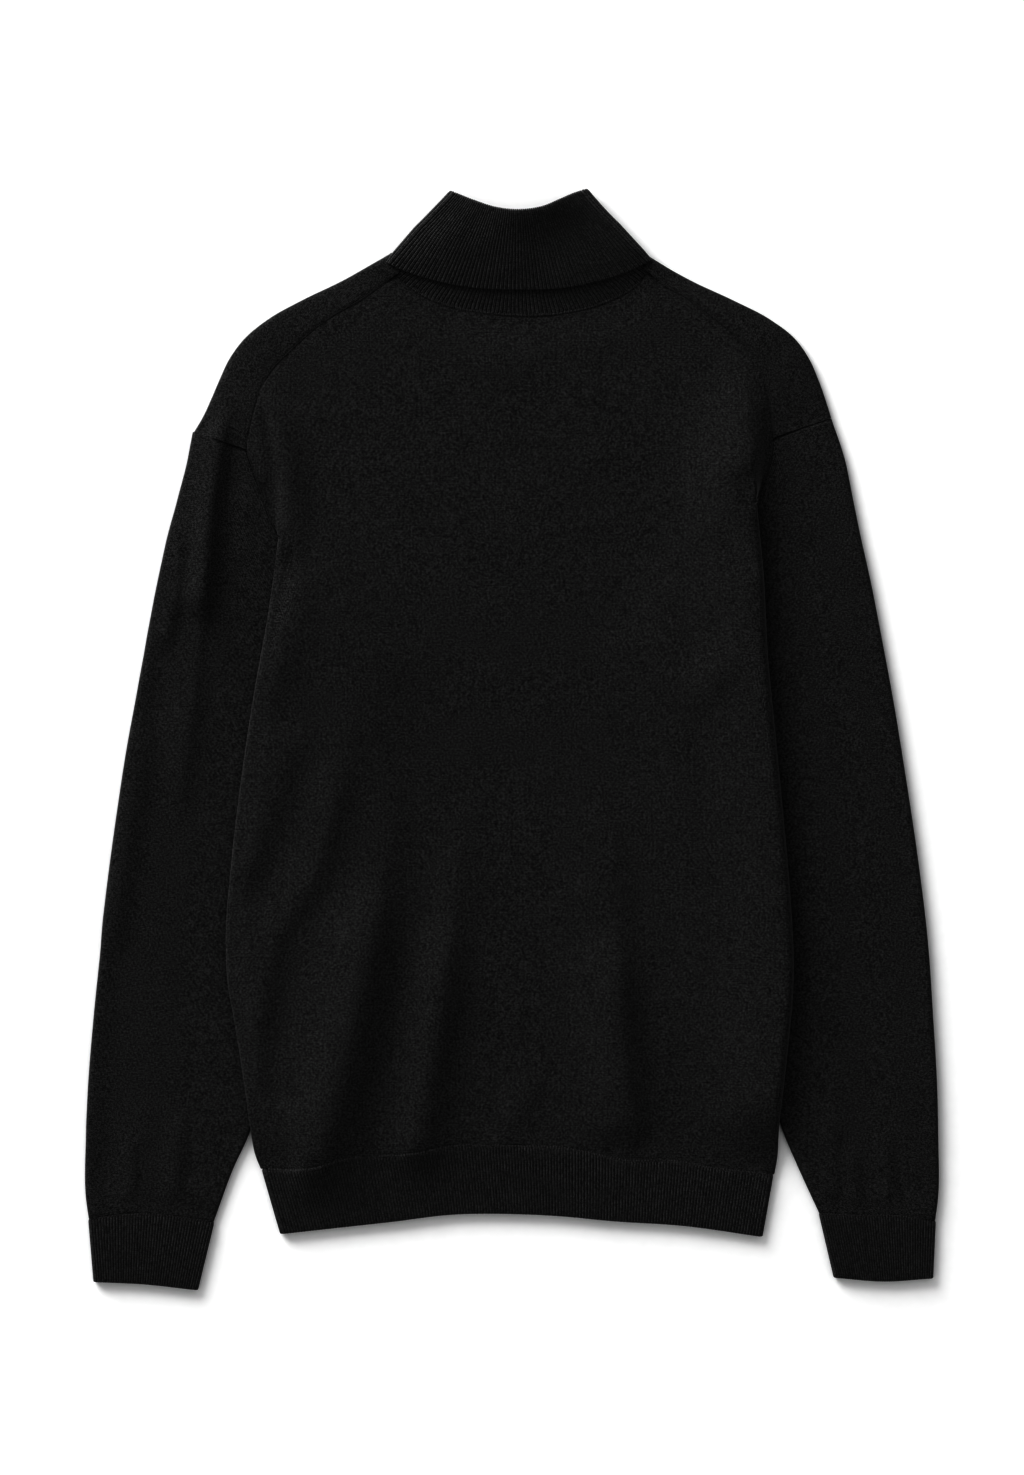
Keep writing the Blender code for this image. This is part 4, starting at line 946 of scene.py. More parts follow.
def rib_map(count, down, long=1):
    """The knit's map of a rib piece: ribs across, and stitches down, from shares of a length."""
    across = np.broadcast_to(count, (len(down), len(count)))
    return np.stack([across, np.broadcast_to(down[:, None] * long / COURSE, across.shape)], axis=-1)


print("a cord's height at 0, 1/4 and 1/2 of its width:", np.round(cord(np.array([0, 0.25, 0.5])), 3))


# %% Cuffs
CUFF_FOLD_RIBS, CUFF_LOW_STEPS = 3, 60  # ribs round each side fold, and steps across the side that lies below


def cuff_line(side, down):
    """Plan points across a cuff at a share from its seam to its end, between the centres of its folds."""
    edge = RIB_FOLD + RIB_SOLID / 2

    def line(share):
        seam = curve(CUFF_SEAM[side], share) - [0, 0.1]
        row = seam + (curve(CUFF_END[side], share) - seam) * down
        ends = curve(CUFF_SEAM[side], [0.0, 1.0])
        middle, width = ends.mean(axis=0), np.linalg.norm(ends[1] - ends[0])
        return row - (row - middle) * [2 * edge / width, 0]

    return line


def cuff(side, name):
    """Rings of ribs from the sleeve's seam to the cuff's end. The lower side, which isn't seen, has no
    ribs."""
    places = ring_places(CUFF_RIBS * PER_RIB, CUFF_FOLD_RIBS * PER_RIB, CUFF_LOW_STEPS)
    count = ring_ribs(places, CUFF_RIBS, CUFF_FOLD_RIBS)
    down = rib_rows(12)
    rounding = rounded_end(len(down))
    ribs = rib_spread(count, (places < 2) | (places > 3))
    top, low = level(RIB_SOLID / 2 + 2 * RIB_FOLD), level(RIB_SOLID / 2)
    on_top = (places < 1.7) | (places > 3.3)
    grid = []
    for share, turned in zip(down, rounding):
        line = cuff_line(side, share)
        drop = groove(share * CUFF_LONG, 0.45, 1.1) + turned
        grid.append(flat_ring(places, line, line, top, low, ribs - np.where(on_top, drop, 0.0)))
    grid = np.stack(grid)
    grid[..., 2] = np.maximum(grid[..., 2], 0.0)
    knit = rib_map(np.append(count, 2 * (CUFF_RIBS + CUFF_FOLD_RIBS)), down, CUFF_LONG)
    return cloth(name, grid, knit, RIB - 2 * rounding[:, None], wrap=True, turn=-side)


cuffs = [told(cuff(-1, "cuff_knit_left")), told(cuff(1, "cuff_knit_right"))]


# %% [markdown]
# The hem is one band round the body. Its back half carries the ribs that show, and is rolled round each side
# of the front half, which lies flat under it. The body's folds run on into the band and fade out. It could
# be one tube like a cuff, but its two halves are separate solids, and the front one is hidden and needs far
# fewer points.

# %% Hem: one row
def hem_grid(down, share, spread, turns):
    """Points across the hem's back band at a share down it, spread from the middle of its wall, with a
    rounded lip at each end that comes down to the floor."""
    seam_x, end_x = [np.array([line[0].x, line[-1].x]) for line in (HEM_SEAM, HEM_END)]
    ends_x = seam_x + (end_x - seam_x) * down
    lip = RIB_FOLD + RIB_SOLID / 2
    x = ends_x[0] + lip + share * (ends_x[1] - ends_x[0] - 2 * lip)
    y = (y_at(HEM_SEAM, x) - 0.1) * (1 - down) + y_at(HEM_END, x) * down
    flat_z = RIB_SOLID / 2 + 2 * RIB_FOLD
    inside = away_from_ends(x, ends_x[0], ends_x[1])
    folds = softly_above(FOLD_GAIN * fold_height(BODY_FOLDS, x, y) + wobble(x, y, 0.15) + 1.6) - 1.7
    middle = flat_z + folds * inside
    row = np.column_stack([x, y, middle + spread])
    lips = []
    for side, end in ((-1, 0), (1, -1)):
        radius = RIB_FOLD + spread[end]
        points = np.column_stack([x[end] + side * radius * np.sin(turns), np.full(len(turns), y[end]),
                                  flat_z - RIB_FOLD + radius * np.cos(turns)])
        lips.append(points[::side])
    return np.concatenate([lips[0], row, lips[1]])


row = hem_grid(0.5, np.linspace(0, 1, 50), np.zeros(50), np.zeros(1))
print("halfway down, the hem is", round(float(np.ptp(row[:, 0])), 1), "mm wide")


# %% Hem: the pieces
def hem_back():
    """Rows of ribs across the back of the hem, from its seam to its end, with three ribs round each lip."""
    share = np.linspace(0, 1, HEM_RIBS * PER_RIB + 1)
    turns = np.radians(np.linspace(10, 178, 3 * PER_RIB))
    down = rib_rows(11)
    rounding = rounded_end(len(down))
    ribs = rib_spread(share * HEM_RIBS, True)
    grid = np.stack([hem_grid(part, share, ribs - groove(part * HEM_LONG, 0.7, 1.1) - turned, turns)
                     for part, turned in zip(down, rounding)])
    grid[..., 2] = np.maximum(grid[..., 2], 0.0)
    beyond = np.arange(1, len(turns) + 1) / PER_RIB
    count = np.concatenate([-beyond[::-1], share * HEM_RIBS, HEM_RIBS + beyond])
    return cloth("hem_knit_back", grid, rib_map(count, down, HEM_LONG), RIB - 2 * rounding[:, None])


def hem_front():
    """The flat front half, drawn in a little at both sides so that it lies inside the back half's lips."""
    share = np.linspace(0, 1, 2 * HEM_RIBS + 1)
    down = np.linspace(0, 0.995, 8)
    rows = np.stack([hem_grid(part, share, np.zeros(len(share)), np.zeros(1))[1:-1] for part in down])
    rows[..., 0] *= 0.995
    rows[..., 2] = 0.0
    return cloth("hem_knit_front", rows, rib_map(share * HEM_RIBS, down, HEM_LONG), RIB, turn=-1)


hems = [told(hem_back()), told(hem_front())]


# %% [markdown]
# The collar is one rib tube, folded over once. Read from the neck seam, the cloth goes up inside as the
# stand, turns over in a round roll along the top, and comes down outside as the turnover. Its ribs run all
# that way, so they fan out towards the wide lower edge, and every rib ends there in a small tooth. A profile
# of the whole fold swept round the neck would be the usual way, but the neck lies flat here, so the rings
# are flattened tubes again.

# %% Collar: its lines
INSETS = (0.035, 0.03, 0.045, 0.024)  # shares drawn in at each side: stand, crest, turnover's top, its end
BOW = {-1: 0.0, 1: -2.4}  # how far each side edge of the turnover bends outwards between its ends


def collar_line(start, down, inset, bow=0.0):
    """A plan line across the collar, a share of the way from its top to the curve start."""

    def line(share):
        part = inset + share * (1 - 2 * inset)
        top, low = crest_line(inset, 0.0)(share), curve(start, part)
        lean = np.where(share < 0.5, -BOW[-1], BOW[1]) * np.abs(2 * share - 1) ** 3
        return top + (low - top) * down + np.column_stack([lean * bow, 0 * share])

    return line


def crest_line(inset, out):
    """The line of the collar's top roll, a distance out from the centre of the roll."""

    def line(share):
        part = inset + share * (1 - 2 * inset)
        top, low = curve(COLLAR_TOP, part), curve(TURNOVER_END, part)
        outward = (top - low) / np.linalg.norm(top - low, axis=1, keepdims=True)
        return top + outward * (out - COLLAR_FOLD - COLLAR_WALL / 2)

    return line


widths = [np.linalg.norm(np.subtract(line[-1], line[0])) for line in (COLLAR_TOP, TURNOVER_END)]
print("the collar is", round(widths[0], 1), "mm wide at its top and", round(widths[1], 1), "mm at its end")


# %% Collar: its heights
STAND_LOW = COLLAR_WALL / 2 + 2 * COLLAR_FOLD + 0.1
STAND_HIGH = STAND_LOW + 2 * COLLAR_CORE
TURNOVER_LOW = COLLAR_WALL / 2
TURNOVER_HIGH = STAND_HIGH + 2 * COLLAR_FOLD
NECK_HIGH, NECK_LOW = 4.5, 1.0  # where the stand's two layers meet the back and the front panel
LEFT_IN, RIGHT_IN = (0.732, -0.681), (-0.720, -0.694)  # directions in from the collar's two side edges


def collar_rise(plan):
    """How much higher the collar's upper layers stand than a flat collar's: a round left side, a ridge along
    the right part of the top, which leans over the middle, and a small rise before the right side."""
    x, y = plan[:, 0], plan[:, 1]
    from_left = (x - COLLAR_TOP[0].x) * LEFT_IN[0] + (y - COLLAR_TOP[0].y) * LEFT_IN[1]
    from_right = (x - COLLAR_TOP[-1].x) * RIGHT_IN[0] + (y - COLLAR_TOP[-1].y) * RIGHT_IN[1]
    from_top = y_at(COLLAR_TOP, x) - y
    from_end = y - y_at(TURNOVER_END, x)
    pillow = 4.2 * ease(from_left / 24) * (1 - 0.6 * ease((x + 14) / 56)) * ease(from_end / 46 + 0.12)
    ridge = 5.6 * ease((x + 34) / 44) * np.exp(-((from_top / 17) ** 2)) * ease((from_right - 2) / 22)
    rise = 1.2 * np.exp(-(((from_right - 11) / 8) ** 2)) * ease(from_end / 20)
    return pillow + ridge + rise


def stand_height(high, seam_high, risen=0):
    """The stand lies between the turnover's layers, and slopes to the panel at the neck seam."""

    def height(plan):
        end, seam = y_at(TURNOVER_END, plan[:, 0]), y_at(NECK_BACK, plan[:, 0])
        return (high + (seam_high - high) * ease((end - plan[:, 1] + 1) / np.maximum(end - seam, 3))
                + risen * collar_rise(plan) * ease((plan[:, 1] - end) / 30))

    return height


def turned_height(plan):
    """Middle of the turnover's upper layer: its folds, and a slight belly between its top and its end."""
    from_end = plan[:, 1] - y_at(TURNOVER_END, plan[:, 0])
    return (TURNOVER_HIGH + collar_rise(plan) + fold_height(COLLAR_FOLDS, plan[:, 0], plan[:, 1])
            - 1.1 * ease((12 - from_end) / 12) + wobble(plan[:, 0], plan[:, 1], 0.15))


def risen(height):
    """A height of a flat collar, raised as the collar's upper layers are."""
    return lambda plan: height + collar_rise(plan)


print("the collar's four layers lie",
      *[round(z, 1) for z in (TURNOVER_LOW, STAND_LOW, STAND_HIGH, TURNOVER_HIGH)],
      "mm up before they rise")


# %% Collar: the piece
COLLAR_FOLD_RIBS, COLLAR_LOW_STEPS = 4, 132  # ribs round each side fold, and steps across each layer below
COLLAR_RISE = RIB_RISE + 0.1  # the collar's ribs are wider, and stand a little higher
STAND_ROWS = (1.0, 0.985, 0.96, 0.92, 0.87, 0.82, 0.77, 0.7, 0.55, 0.35, 0.15, 0.0)  # shares, seam to roll
CREST_TURNS = np.radians(np.linspace(-70, 70, 8))  # angles of the rows round the top roll
TURNOVER_ROWS = np.concatenate([np.linspace(0.0, 0.97, 36), [0.985, 0.993, 0.998, 1.0]])
TOOTH = 0.5  # how far each rib's end stands out beyond the valleys beside it


def collar():
    """Rings along the cloth: up the stand, round the top roll, and down the turnover. Ribs show on every
    layer but the lower ones."""
    places = ring_places(COLLAR_RIBS * PER_RIB, COLLAR_FOLD_RIBS * PER_RIB, COLLAR_LOW_STEPS)
    count = ring_ribs(places, COLLAR_RIBS, COLLAR_FOLD_RIBS)
    ribs = COLLAR_RISE * (cord(count) - 1) * np.where((places > 2) & (places < 3), 0.0, 1.0)
    half = COLLAR_WALL / 2
    grid, thick = [], []
    stand = stand_height(STAND_HIGH, NECK_HIGH, 1), stand_height(STAND_LOW, NECK_LOW)
    for down in STAND_ROWS:
        inset = 0.005 + (INSETS[0] - 0.005) * ease((1 - down) / 0.25)
        lines = [collar_line(neck, down, inset) for neck in (NECK_BACK, NECK_FRONT)]
        grid.append(flat_ring(places, *lines, *stand, -half))
        thick.append(RIB + 0.5 + ribs - groove((1 - down) * STAND_LONG, 0.5, 1.2))
    centre = (STAND_HIGH + TURNOVER_HIGH) / 2, (STAND_LOW + TURNOVER_LOW) / 2
    radius = COLLAR_FOLD + half
    for turn in CREST_TURNS:
        inset = np.interp(turn, [-1.3, 0, 1.3], INSETS[:3])
        line = crest_line(inset, radius * math.cos(turn))
        lean = ribs * math.cos(turn)
        ring = flat_ring(places, line, line, risen(centre[0] + radius * math.sin(turn)),
                         level(centre[1] - radius * math.sin(turn)), ribs * max(math.sin(turn), 0.0))
        middle = flat_ring(places, crest_line(inset, 0.0), crest_line(inset, 0.0),
                           level(0.0), level(0.0), 0.0)
        outward = ring[:, :2] - middle[:, :2]
        outward = outward / np.maximum(np.linalg.norm(outward, axis=1, keepdims=True), 1e-6)
        ring[:, :2] += outward * lean[:, None]
        grid.append(ring)
        thick.append(np.full(len(places), RIB))
    tooth = TOOTH * (cord(count) - 0.5)
    for down, turned in zip(TURNOVER_ROWS, rounded_end(len(TURNOVER_ROWS))):
        inset = np.interp(down, [0, 0.5, 1], [INSETS[2], INSETS[3], INSETS[3]])
        line = collar_line(TURNOVER_END, down, inset, 4 * down * (1 - down))
        ring = flat_ring(places, line, line, turned_height, level(TURNOVER_LOW), half + ribs - turned)
        ring[:, 1] -= tooth * ease((down - 0.9) / 0.1) * (places < 1)
        grid.append(ring)
        thick.append(np.full(len(places), RIB - 2 * turned))
    grid = np.stack(grid)
    grid[..., 2] = np.maximum(grid[..., 2], 0.0)
    middle = COLLAR_RIBS * PER_RIB // 2
    run = np.concatenate([[0], np.cumsum(np.linalg.norm(np.diff(grid[:, middle], axis=0), axis=1))])
    knit = rib_map(np.append(count, 2 * (COLLAR_RIBS + COLLAR_FOLD_RIBS)), run)
    return cloth("collar_knit", grid, knit, np.stack(thick), wrap=True)


collar_piece = told(collar())


# %% [markdown]
# The pieces are linked together stitch by stitch. Where a rib meets a panel the linking shows as a fine
# raised chain, lighter than the cloth beside it, with one bead for each rib. A copy of one bead for each
# stitch would do, but hundreds of small pieces are slow to handle. So the chain is a thin tube along the
# seam, whose radius rises and falls with the stitches.

# %% Chains of stitches
def chain(name, line, pitch, radius, wide=1.0, across=8, per_stitch=5):
    """A tube along a line of points, with one bead for each pitch: its radius is radius * (0.2 + 0.8 |sin|).
    It is so many times wider across the seam, three quarters as high, and each bead leans a little."""
    share, length = lengths(line)
    count = max(int(length / pitch), 1) * per_stitch
    at = np.linspace(0, 1, count + 1)
    path = np.stack([cubic(share, line[:, k], at) for k in range(3)], axis=1)
    ahead = np.gradient(path, axis=0)
    ahead /= np.linalg.norm(ahead, axis=1, keepdims=True)
    side = np.cross(ahead, [0, 0, 1.0])
    side /= np.linalg.norm(side, axis=1, keepdims=True)
    up = np.cross(side, ahead)
    turn = np.arange(across) * 2 * math.pi / across
    phase = math.pi * at[:, None] * count / per_stitch + 0.5 * np.sin(turn)
    bead = radius * (0.2 + 0.8 * np.abs(np.sin(phase)))
    bead[[0, -1]] *= 0.2
    points = (path[:, None] + side[:, None] * (wide * bead * np.cos(turn))[..., None]
              + up[:, None] * (0.75 * bead * np.sin(turn))[..., None])
    number = np.arange(points.shape[0] * across).reshape(-1, across)
    after = np.roll(number, -1, axis=1)
    quads = np.stack([number[:-1], after[:-1], after[1:], number[1:]], axis=-1).reshape(-1, 4)
    place = np.stack(np.broadcast_arrays(at[:, None] * length / pitch, turn / 6.3), axis=-1).reshape(-1, 2)
    return make_mesh(name, points.reshape(-1, 3), quads, place[quads])


def seam_points(line, shares, height):
    """A seam's line in space: smooth in plan, at the height given for its plan points."""
    plan = curve(line, shares)
    return np.column_stack([plan, height(plan)])


NECK_SEAM_Z, CUFF_SEAM_Z = 5.0, 4.55
hem_line = seam_points(HEM_SEAM, np.linspace(0.014, 0.986, 160), lambda plan: np.maximum(
    back_height(plan[:, 0], plan[:, 1] + 2.5) - 0.9, 4.5))  # a little under the back's edge
neck_line = seam_points(NECK_BACK, np.linspace(0.05, 0.95, 60), level(NECK_SEAM_Z))
cuff_lines = {side: seam_points(CUFF_SEAM[side], np.linspace(0.04, 0.96, 40), level(CUFF_SEAM_Z))
              for side in (-1, 1)}
print("the hem's seam lies", round(float(hem_line[:, 2].min()), 1), "to",
      round(float(hem_line[:, 2].max()), 1), "mm high")

# %% Linked seams of the ribs, one bead for each rib
seams = [
    told(chain("seam_hem", hem_line, 2.1, 0.62, 2.6)),
    told(chain("seam_neck", neck_line, 2.6, 0.6, 2.0)),
    told(chain("seam_cuff_left", cuff_lines[-1], 2.05, 0.55)),
    told(chain("seam_cuff_right", cuff_lines[1], 2.05, 0.55)),
]

# %% Sewn seams of the plain pieces, one bead for each row of stitches
SEWN_Z = 4.6
sewn = []
for side, name in ((-1, "left"), (1, "right")):
    shown = {"shoulder": (SHOULDER_SEAM, 0.98), "sleeve_top": (TOP_SEAM, 1.0), "armhole": (ARMHOLE, 0.36)}
    for part, (line, end) in shown.items():
        path = seam_points(line[side], np.linspace(0.02, end, 40),
                           lambda plan: SEWN_Z + shoulder_rise(*plan.T))
        if part == "armhole":  # this seam climbs with the back's edge
            path[:, 2] = back_height(path[:, 0] - side * 0.4, path[:, 1]) - 0.4
        if part == "sleeve_top":
            path[:, 2] += 0.1
        sewn.append(told(chain(f"seam_{part}_{name}", path, COURSE, 0.6)))

# %% [markdown]
# A fully fashioned panel is shaped on the machine: where it narrows, two stitches are moved over each other
# a few wales in from its edge, and each such place leaves a small raised mark. A row of them follows each
# shoulder seam and the left armhole. They could be painted into the yarn's material, but only real mounds
# cast their shadows.

# %% Fashioning marks
def marks(name, line, count, inset, side, height, size=(1.5, 3.0, 0.5)):
    """A row of small raised double stitches beside a line. Each is a mound of two lobes, (1 - r^2) high, and
    size is its width, its length and its height."""
    shares = np.linspace(0.06, 0.94, count)
    plan = curve(line, shares)
    ahead = curve(line, np.clip(shares + 0.01, 0, 1)) - curve(line, np.clip(shares - 0.01, 0, 1))
    ahead /= np.linalg.norm(ahead, axis=1, keepdims=True)
    plan = plan + side * np.column_stack([-ahead[:, 1], ahead[:, 0]]) * inset
    steps = np.linspace(-1, 1, 9)
    u, v = np.meshgrid(steps, steps)
    u, v = u * np.sqrt(1 - v * v / 2), v * np.sqrt(1 - u * u / 2)
    rise = np.maximum(1 - u * u - v * v, 0) * (0.55 + 0.45 * np.abs(np.sin(2.2 * u)))
    x = plan[:, 0, None, None] + u * size[0] / 2
    y = plan[:, 1, None, None] + v * size[1] / 2
    z = height(x, y) - 0.12 + rise * size[2]
    points = np.stack([x, y, z], axis=-1).reshape(-1, 3)
    number = np.arange(u.size).reshape(u.shape)
    quad = np.stack([number[:-1, :-1], number[:-1, 1:], number[1:, 1:], number[1:, :-1]],
                    axis=-1).reshape(-1, 4)
    quads = (np.arange(count)[:, None, None] * u.size + quad).reshape(-1, 4)
    place = np.column_stack([(u.ravel() + 1) / 2, (v.ravel() + 1)])
    return make_mesh(name, points, quads, np.tile(place, (count, 1))[quads])


fashioning = [
    told(marks("marks_shoulder_left", SHOULDER_SEAM[-1], 22, 8.0, -1, back_height)),
    told(marks("marks_shoulder_right", SHOULDER_SEAM[1], 20, 8.0, 1, back_height)),
    told(marks("marks_armhole_left", ARMHOLE[-1][:5], 9, 4.5, 1, back_height)),
]

# %% [markdown]
# One yarn makes the whole sweater: matte black wool. An image texture of knitting could be laid over the
# knit's map, but it would repeat, and blur from near by. So the material is worked out from the map. A
# stitch is two slanting legs that meet in a V, so the height rises over each leg and sinks between the legs
# and between one stitch and the next, and the colour is made darker where it sinks, as painted shade. Fine
# noise stands for the fibres that blur the stitches, and slow noise for the uneven dye, which gives black
# wool its faint heather. Where the cloth turns away from the eye, the colour goes over to a paler one, as a
# painted sheen.

# %% Helpers for nodes
def link(tree, *pairs):
    """Joins each pair of sockets, from an output to an input."""
    for start, end in pairs:
        tree.links.new(start, end)


def math_node(tree, operation, *values):
    """A math node whose inputs are numbers or other nodes' sockets, and its output socket."""
    node = tree.nodes.new("ShaderNodeMath")
    node.operation = operation
    for socket, value in zip(node.inputs, values):
        if isinstance(value, (int, float)):
            socket.default_value = value
        else:
            tree.links.new(value, socket)
    return node.outputs[0]


def noise_node(tree, vector, scale, detail=2.0, roughness=0.6):
    """A noise texture at places given by a socket, and its output socket."""
    node = tree.nodes.new("ShaderNodeTexNoise")
    node.inputs["Scale"].default_value = scale
    node.inputs["Detail"].default_value = detail
    node.inputs["Roughness"].default_value = roughness
    tree.links.new(vector, node.inputs["Vector"])
    return node.outputs["Fac"]


print("helpers join sockets, do sums and make noise")


# %% One stitch
FIBRES, TUFTS, DYE = 2300.0, 850.0, 60.0  # scales of the noise for fibres, tufts of them, and uneven dye


def stitch_group():
    """Height and shade of one knitted stitch, from the knit's map and from places on the object. The shade is
    darker where the stitch sinks, a painted shade, and varies at random with tufts of fibre and the dye.
    """
    tree = bpy.data.node_groups.new("knit_stitch", "ShaderNodeTree")
    for name, kind in (("Map", "NodeSocketVector"), ("Place", "NodeSocketVector")):
        tree.interface.new_socket(name=name, in_out="INPUT", socket_type=kind)
    for name in ("Height", "Shade"):
        tree.interface.new_socket(name=name, in_out="OUTPUT", socket_type="NodeSocketFloat")
    start, end = tree.nodes.new("NodeGroupInput"), tree.nodes.new("NodeGroupOutput")
    parts = tree.nodes.new("ShaderNodeSeparateXYZ")
    link(tree, (start.outputs["Map"], parts.inputs[0]))
    from_middle = math_node(tree, "ABSOLUTE", math_node(
        tree, "SUBTRACT", math_node(tree, "FRACT", parts.outputs["X"]), 0.5))
    across = math_node(tree, "SUBTRACT", math_node(tree, "MULTIPLY", from_middle, 4.0), 1.0)
    leg = math_node(tree, "SUBTRACT", 1.0, math_node(tree, "MULTIPLY", across, across))
    slanted = math_node(tree, "FRACT", math_node(
        tree, "ADD", parts.outputs["Y"], math_node(tree, "MULTIPLY", from_middle, 1.6)))
    centred = math_node(tree, "SUBTRACT", math_node(tree, "MULTIPLY", slanted, 2.0), 1.0)
    length = math_node(tree, "SUBTRACT", 1.0, math_node(tree, "MULTIPLY", centred, centred))
    stitch = math_node(tree, "MULTIPLY", math_node(tree, "SQRT", math_node(tree, "MAXIMUM", leg, 0.0)),
                       math_node(tree, "ADD", 0.4, math_node(tree, "MULTIPLY", length, 0.6)))
    fibre = noise_node(tree, start.outputs["Place"], FIBRES, 3.0)
    tuft = noise_node(tree, start.outputs["Place"], TUFTS, 2.0)
    height = math_node(tree, "ADD", math_node(tree, "MULTIPLY", stitch, 0.6),
                       math_node(tree, "ADD", math_node(tree, "MULTIPLY", fibre, 0.35),
                                 math_node(tree, "MULTIPLY", tuft, 0.5)))
    # painted shade: the stitch darkens the colour between its legs; tufts and dye vary it at random
    shade = math_node(tree, "ADD", math_node(tree, "MULTIPLY", stitch, 0.35),
                      math_node(tree, "ADD", math_node(tree, "MULTIPLY", tuft, 0.9),
                                math_node(tree, "MULTIPLY",
                                          noise_node(tree, start.outputs["Place"], DYE), 0.05)))
    link(tree, (height, end.inputs["Height"]), (shade, end.inputs["Shade"]))
    return tree


STITCH = stitch_group()
print("one stitch is worked out by", len(STITCH.nodes), "nodes")


# %% Yarn
def yarn(name, dark, light, painted_sheen=0.25, bump=0.0006):
    """Black wool between two shades, with the stitch's height as bump. Where the cloth turns away from the
    eye, the colour goes over to a paler one, a painted sheen."""
    material = bpy.data.materials.new(name)
    material.use_nodes = True
    tree = material.node_tree
    shader = tree.nodes["Principled BSDF"]
    place = tree.nodes.new("ShaderNodeTexCoord")
    uv = tree.nodes.new("ShaderNodeUVMap")
    uv.uv_map = "knit"
    stitch = tree.nodes.new("ShaderNodeGroup")
    stitch.node_tree = STITCH
    ramp = tree.nodes.new("ShaderNodeValToRGB")
    ramp.color_ramp.elements[0].position, ramp.color_ramp.elements[1].position = 0.5, 1.0
    ramp.color_ramp.elements[0].color = (dark, dark, dark, 1)
    ramp.color_ramp.elements[1].color = (light, light, light, 1)
    turned = tree.nodes.new("ShaderNodeLayerWeight")
    turned.inputs["Blend"].default_value = 0.5
    # painted sheen: the colour goes over to a paler one where the cloth faces away from the eye
    edge = math_node(tree, "POWER", turned.outputs["Facing"], 3.1)
    shades = tree.nodes.new("ShaderNodeMix")
    shades.data_type = "RGBA"
    next(socket for socket in shades.inputs if socket.name == "B" and socket.type == "RGBA").default_value = (
        painted_sheen, painted_sheen, painted_sheen, 1)
    color_in = next(socket for socket in shades.inputs if socket.name == "A" and socket.type == "RGBA")
    color_out = next(socket for socket in shades.outputs if socket.type == "RGBA")
    relief = tree.nodes.new("ShaderNodeBump")
    relief.inputs["Distance"].default_value = bump
    relief.inputs["Strength"].default_value = 0.9
    link(tree, (uv.outputs["UV"], stitch.inputs["Map"]), (place.outputs["Object"], stitch.inputs["Place"]),
         (stitch.outputs["Shade"], ramp.inputs["Fac"]), (ramp.outputs["Color"], color_in),
         (edge, shades.inputs["Factor"]), (color_out, shader.inputs["Base Color"]),
         (stitch.outputs["Height"], relief.inputs["Height"]),
         (relief.outputs["Normal"], shader.inputs["Normal"]))
    shader.inputs["Roughness"].default_value = 0.9
    shader.inputs["Specular IOR Level"].default_value = 0.0
    return material


plain_yarn = yarn("black_wool_plain", 0.017, 0.146)
rib_yarn = yarn("black_wool_rib", 0.026, 0.142)
seam_yarn = yarn("black_wool_seam", 0.025, 0.16)
print("yarns", [material.name for material in (plain_yarn, rib_yarn, seam_yarn)])

# %% [markdown]
# Every piece now stands for its solid, rides on the sweater's one body and says what cloth it is. A tube's
# flat size is its own cut, opened out: its girth by its length. The pieces could be joined into one mesh,
# but a sweater in its own pieces can be taken apart, altered and sewn again.

# %% Stand for the solids
DRESSED = (
    (back, "back_panel", plain_yarn, (0.46, 0.65), 0.255,
     ["front_knit", "sleeve_knit_left", "sleeve_knit_right"]),
    (front, "front_panel", plain_yarn, (0.46, 0.68), 0.26, ["floor"]),
    (sleeves[0], "sleeve_left", plain_yarn, (0.30, 0.58), 0.132, ["floor"]),
    (sleeves[1], "sleeve_right", plain_yarn, (0.30, 0.58), 0.132, ["floor"]),
    (cuffs[0], "cuff_left", rib_yarn, (0.18, 0.048), None, ["floor"]),
    (cuffs[1], "cuff_right", rib_yarn, (0.18, 0.048), None, ["floor"]),
    (hems[0], "hem_back", rib_yarn, (0.37, 0.05), None, ["hem_knit_front"]),
    (hems[1], "hem_front", rib_yarn, (0.37, 0.05), None, ["floor"]),
    (collar_piece, "collar", rib_yarn, (0.38, 0.15), None, ["floor"]),
)
for piece, node, material, flat, area, rests_on in DRESSED:
    piece.data.materials.append(material)
    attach(piece, "root")
    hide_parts(node)
    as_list(rests_on)
for piece, node in zip(seams + fashioning + sewn, ("hem_back", "collar", "cuff_left", "cuff_right") + (
        "back_panel",) * 9):
    piece.data.materials.append(seam_yarn if piece == seams[0] else rib_yarn)
    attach(piece, "root")
print(len(DRESSED), "pieces of cloth,", len(seams + sewn), "seams,", len(fashioning), "rows of marks")

# %% [markdown]
# The sweater is shown on a plain white floor, seen straight down. One large soft light stands at the upper
# left, low enough to model the folds, and a white surround fills the shadows. A sky texture would be quicker
# to set up, but it brings in colours of its own, and black wool shows them.

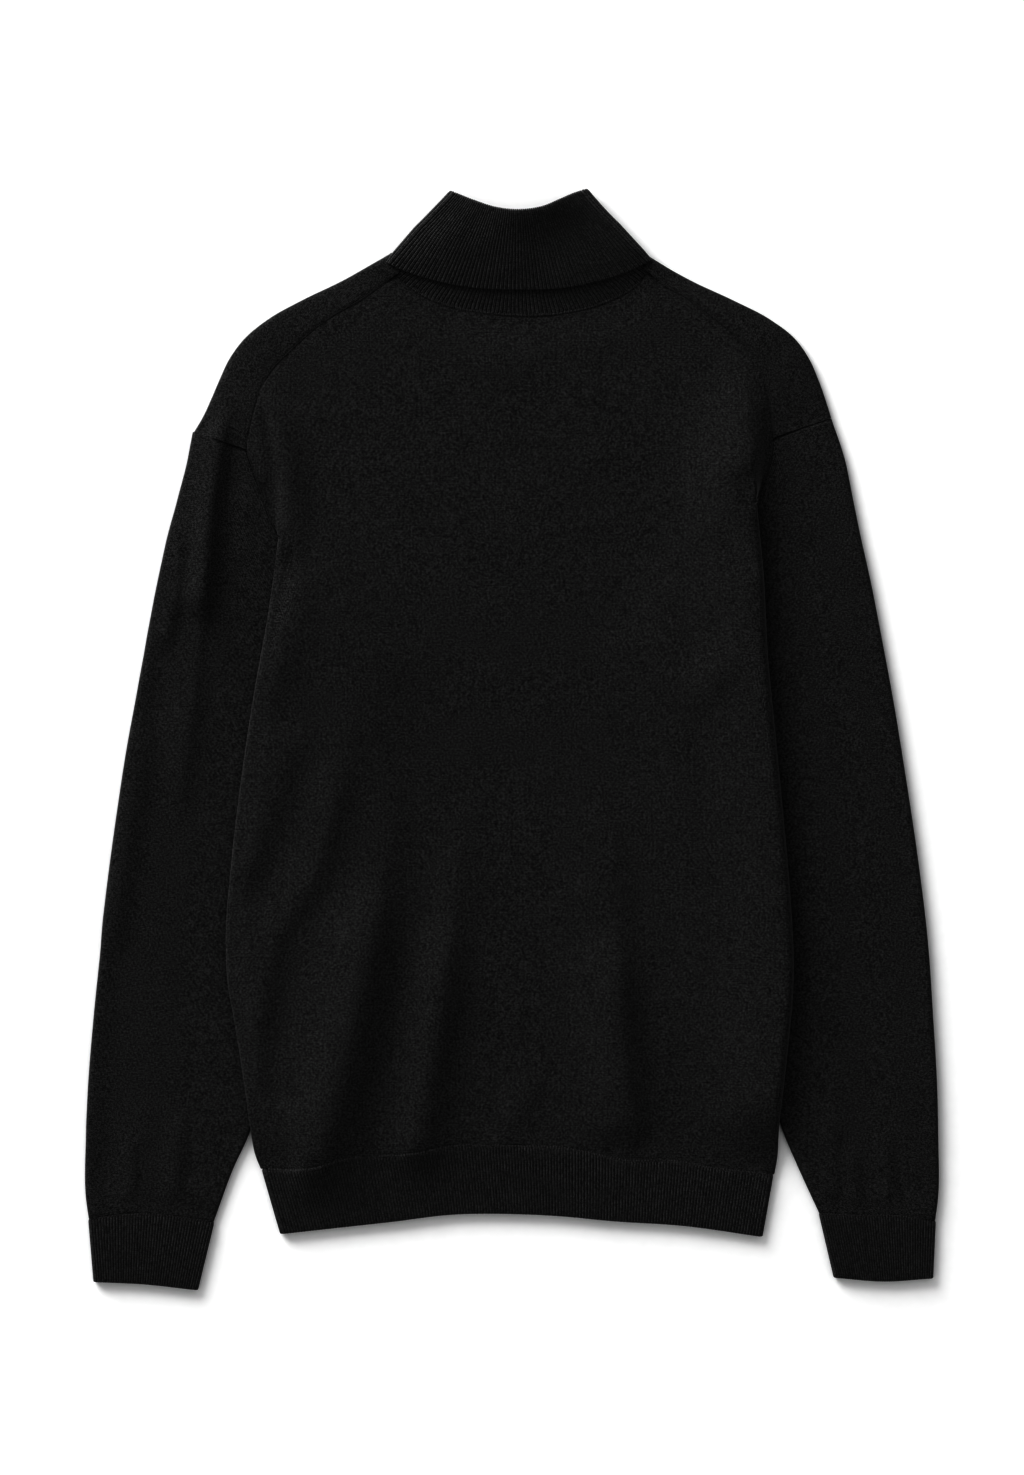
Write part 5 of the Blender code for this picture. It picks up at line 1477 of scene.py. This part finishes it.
# %% Floor
def floor_plane():
    """A large square just below the sweater, of matte paper between two near whites."""
    mesh = bpy.data.meshes.new("floor")
    reach, low = 6.0, -0.0003
    mesh.from_pydata([(-reach, -reach, low), (reach, -reach, low), (reach, reach, low), (-reach, reach, low)],
                     [], [(0, 1, 2, 3)])
    plane = bpy.data.objects.new("floor", mesh)
    bpy.context.collection.objects.link(plane)
    material = bpy.data.materials.new("floor_paper")
    material.use_nodes = True
    tree = material.node_tree
    shader = tree.nodes["Principled BSDF"]
    place = tree.nodes.new("ShaderNodeTexCoord")
    grain = noise_node(tree, place.outputs["Object"], 90.0)
    ramp = tree.nodes.new("ShaderNodeValToRGB")
    ramp.color_ramp.elements[0].color = (0.86, 0.86, 0.86, 1)
    ramp.color_ramp.elements[1].color = (0.9, 0.9, 0.9, 1)
    link(tree, (grain, ramp.inputs["Fac"]), (ramp.outputs["Color"], shader.inputs["Base Color"]))
    shader.inputs["Roughness"].default_value = 0.9
    mesh.materials.append(material)
    return plane


floor_plane()
print("the floor is laid")


# %% Light
def softbox(name, place, target, size, watts):
    """A rectangular area light at a place, turned towards a target."""
    lamp = bpy.data.lights.new(name, "AREA")
    lamp.energy, lamp.shape, lamp.size, lamp.size_y = watts, "RECTANGLE", size[0], size[1]
    light = bpy.data.objects.new(name, lamp)
    bpy.context.collection.objects.link(light)
    toward = np.subtract(target, place)
    flat_distance = math.hypot(toward[0], toward[1])
    light.location = place
    turn = math.atan2(toward[1], toward[0]) - math.pi / 2
    light.rotation_euler = (math.atan2(flat_distance, -toward[2]), 0, turn)
    return light


key = softbox("key", (-3.71, 4.92, 2.06), (0.0, 0.0, 0.0), (4.6, 4.0), 810)
world = bpy.data.worlds.new("surround")
world.use_nodes = True
world.node_tree.nodes["Background"].inputs["Color"].default_value = (1, 1, 1, 1)
world.node_tree.nodes["Background"].inputs["Strength"].default_value = 0.76
scene = bpy.context.scene
scene.world = world
scene.view_settings.view_transform = "Standard"
scene.view_settings.gamma = 0.45
print("the light shines from", round(math.degrees(key.rotation_euler[0]), 1), "degrees off straight down")

# %% Camera
ROWS, ROW_SIZE = 1475, 0.72  # rows of the full view, and how many millimetres each of them shows
VIEW_HEIGHT = ROWS * ROW_SIZE * MM
EYE, CLOTH_MIDDLE = 3.0, 0.006  # heights of the camera and of the middle of the cloth
VIEW_Y = 0.0018  # the view's middle lies a little above the origin
view = bpy.data.cameras.new("view")
view.sensor_fit, view.sensor_height = "VERTICAL", 36.0
view.lens = view.sensor_height * (EYE - CLOTH_MIDDLE) / VIEW_HEIGHT
camera = bpy.data.objects.new("view", view)
bpy.context.collection.objects.link(camera)
camera.location = (0.0, VIEW_Y, EYE)
scene.camera = camera
print("the view is", round(VIEW_HEIGHT, 3), "m high, through a lens of", round(view.lens, 1), "mm")
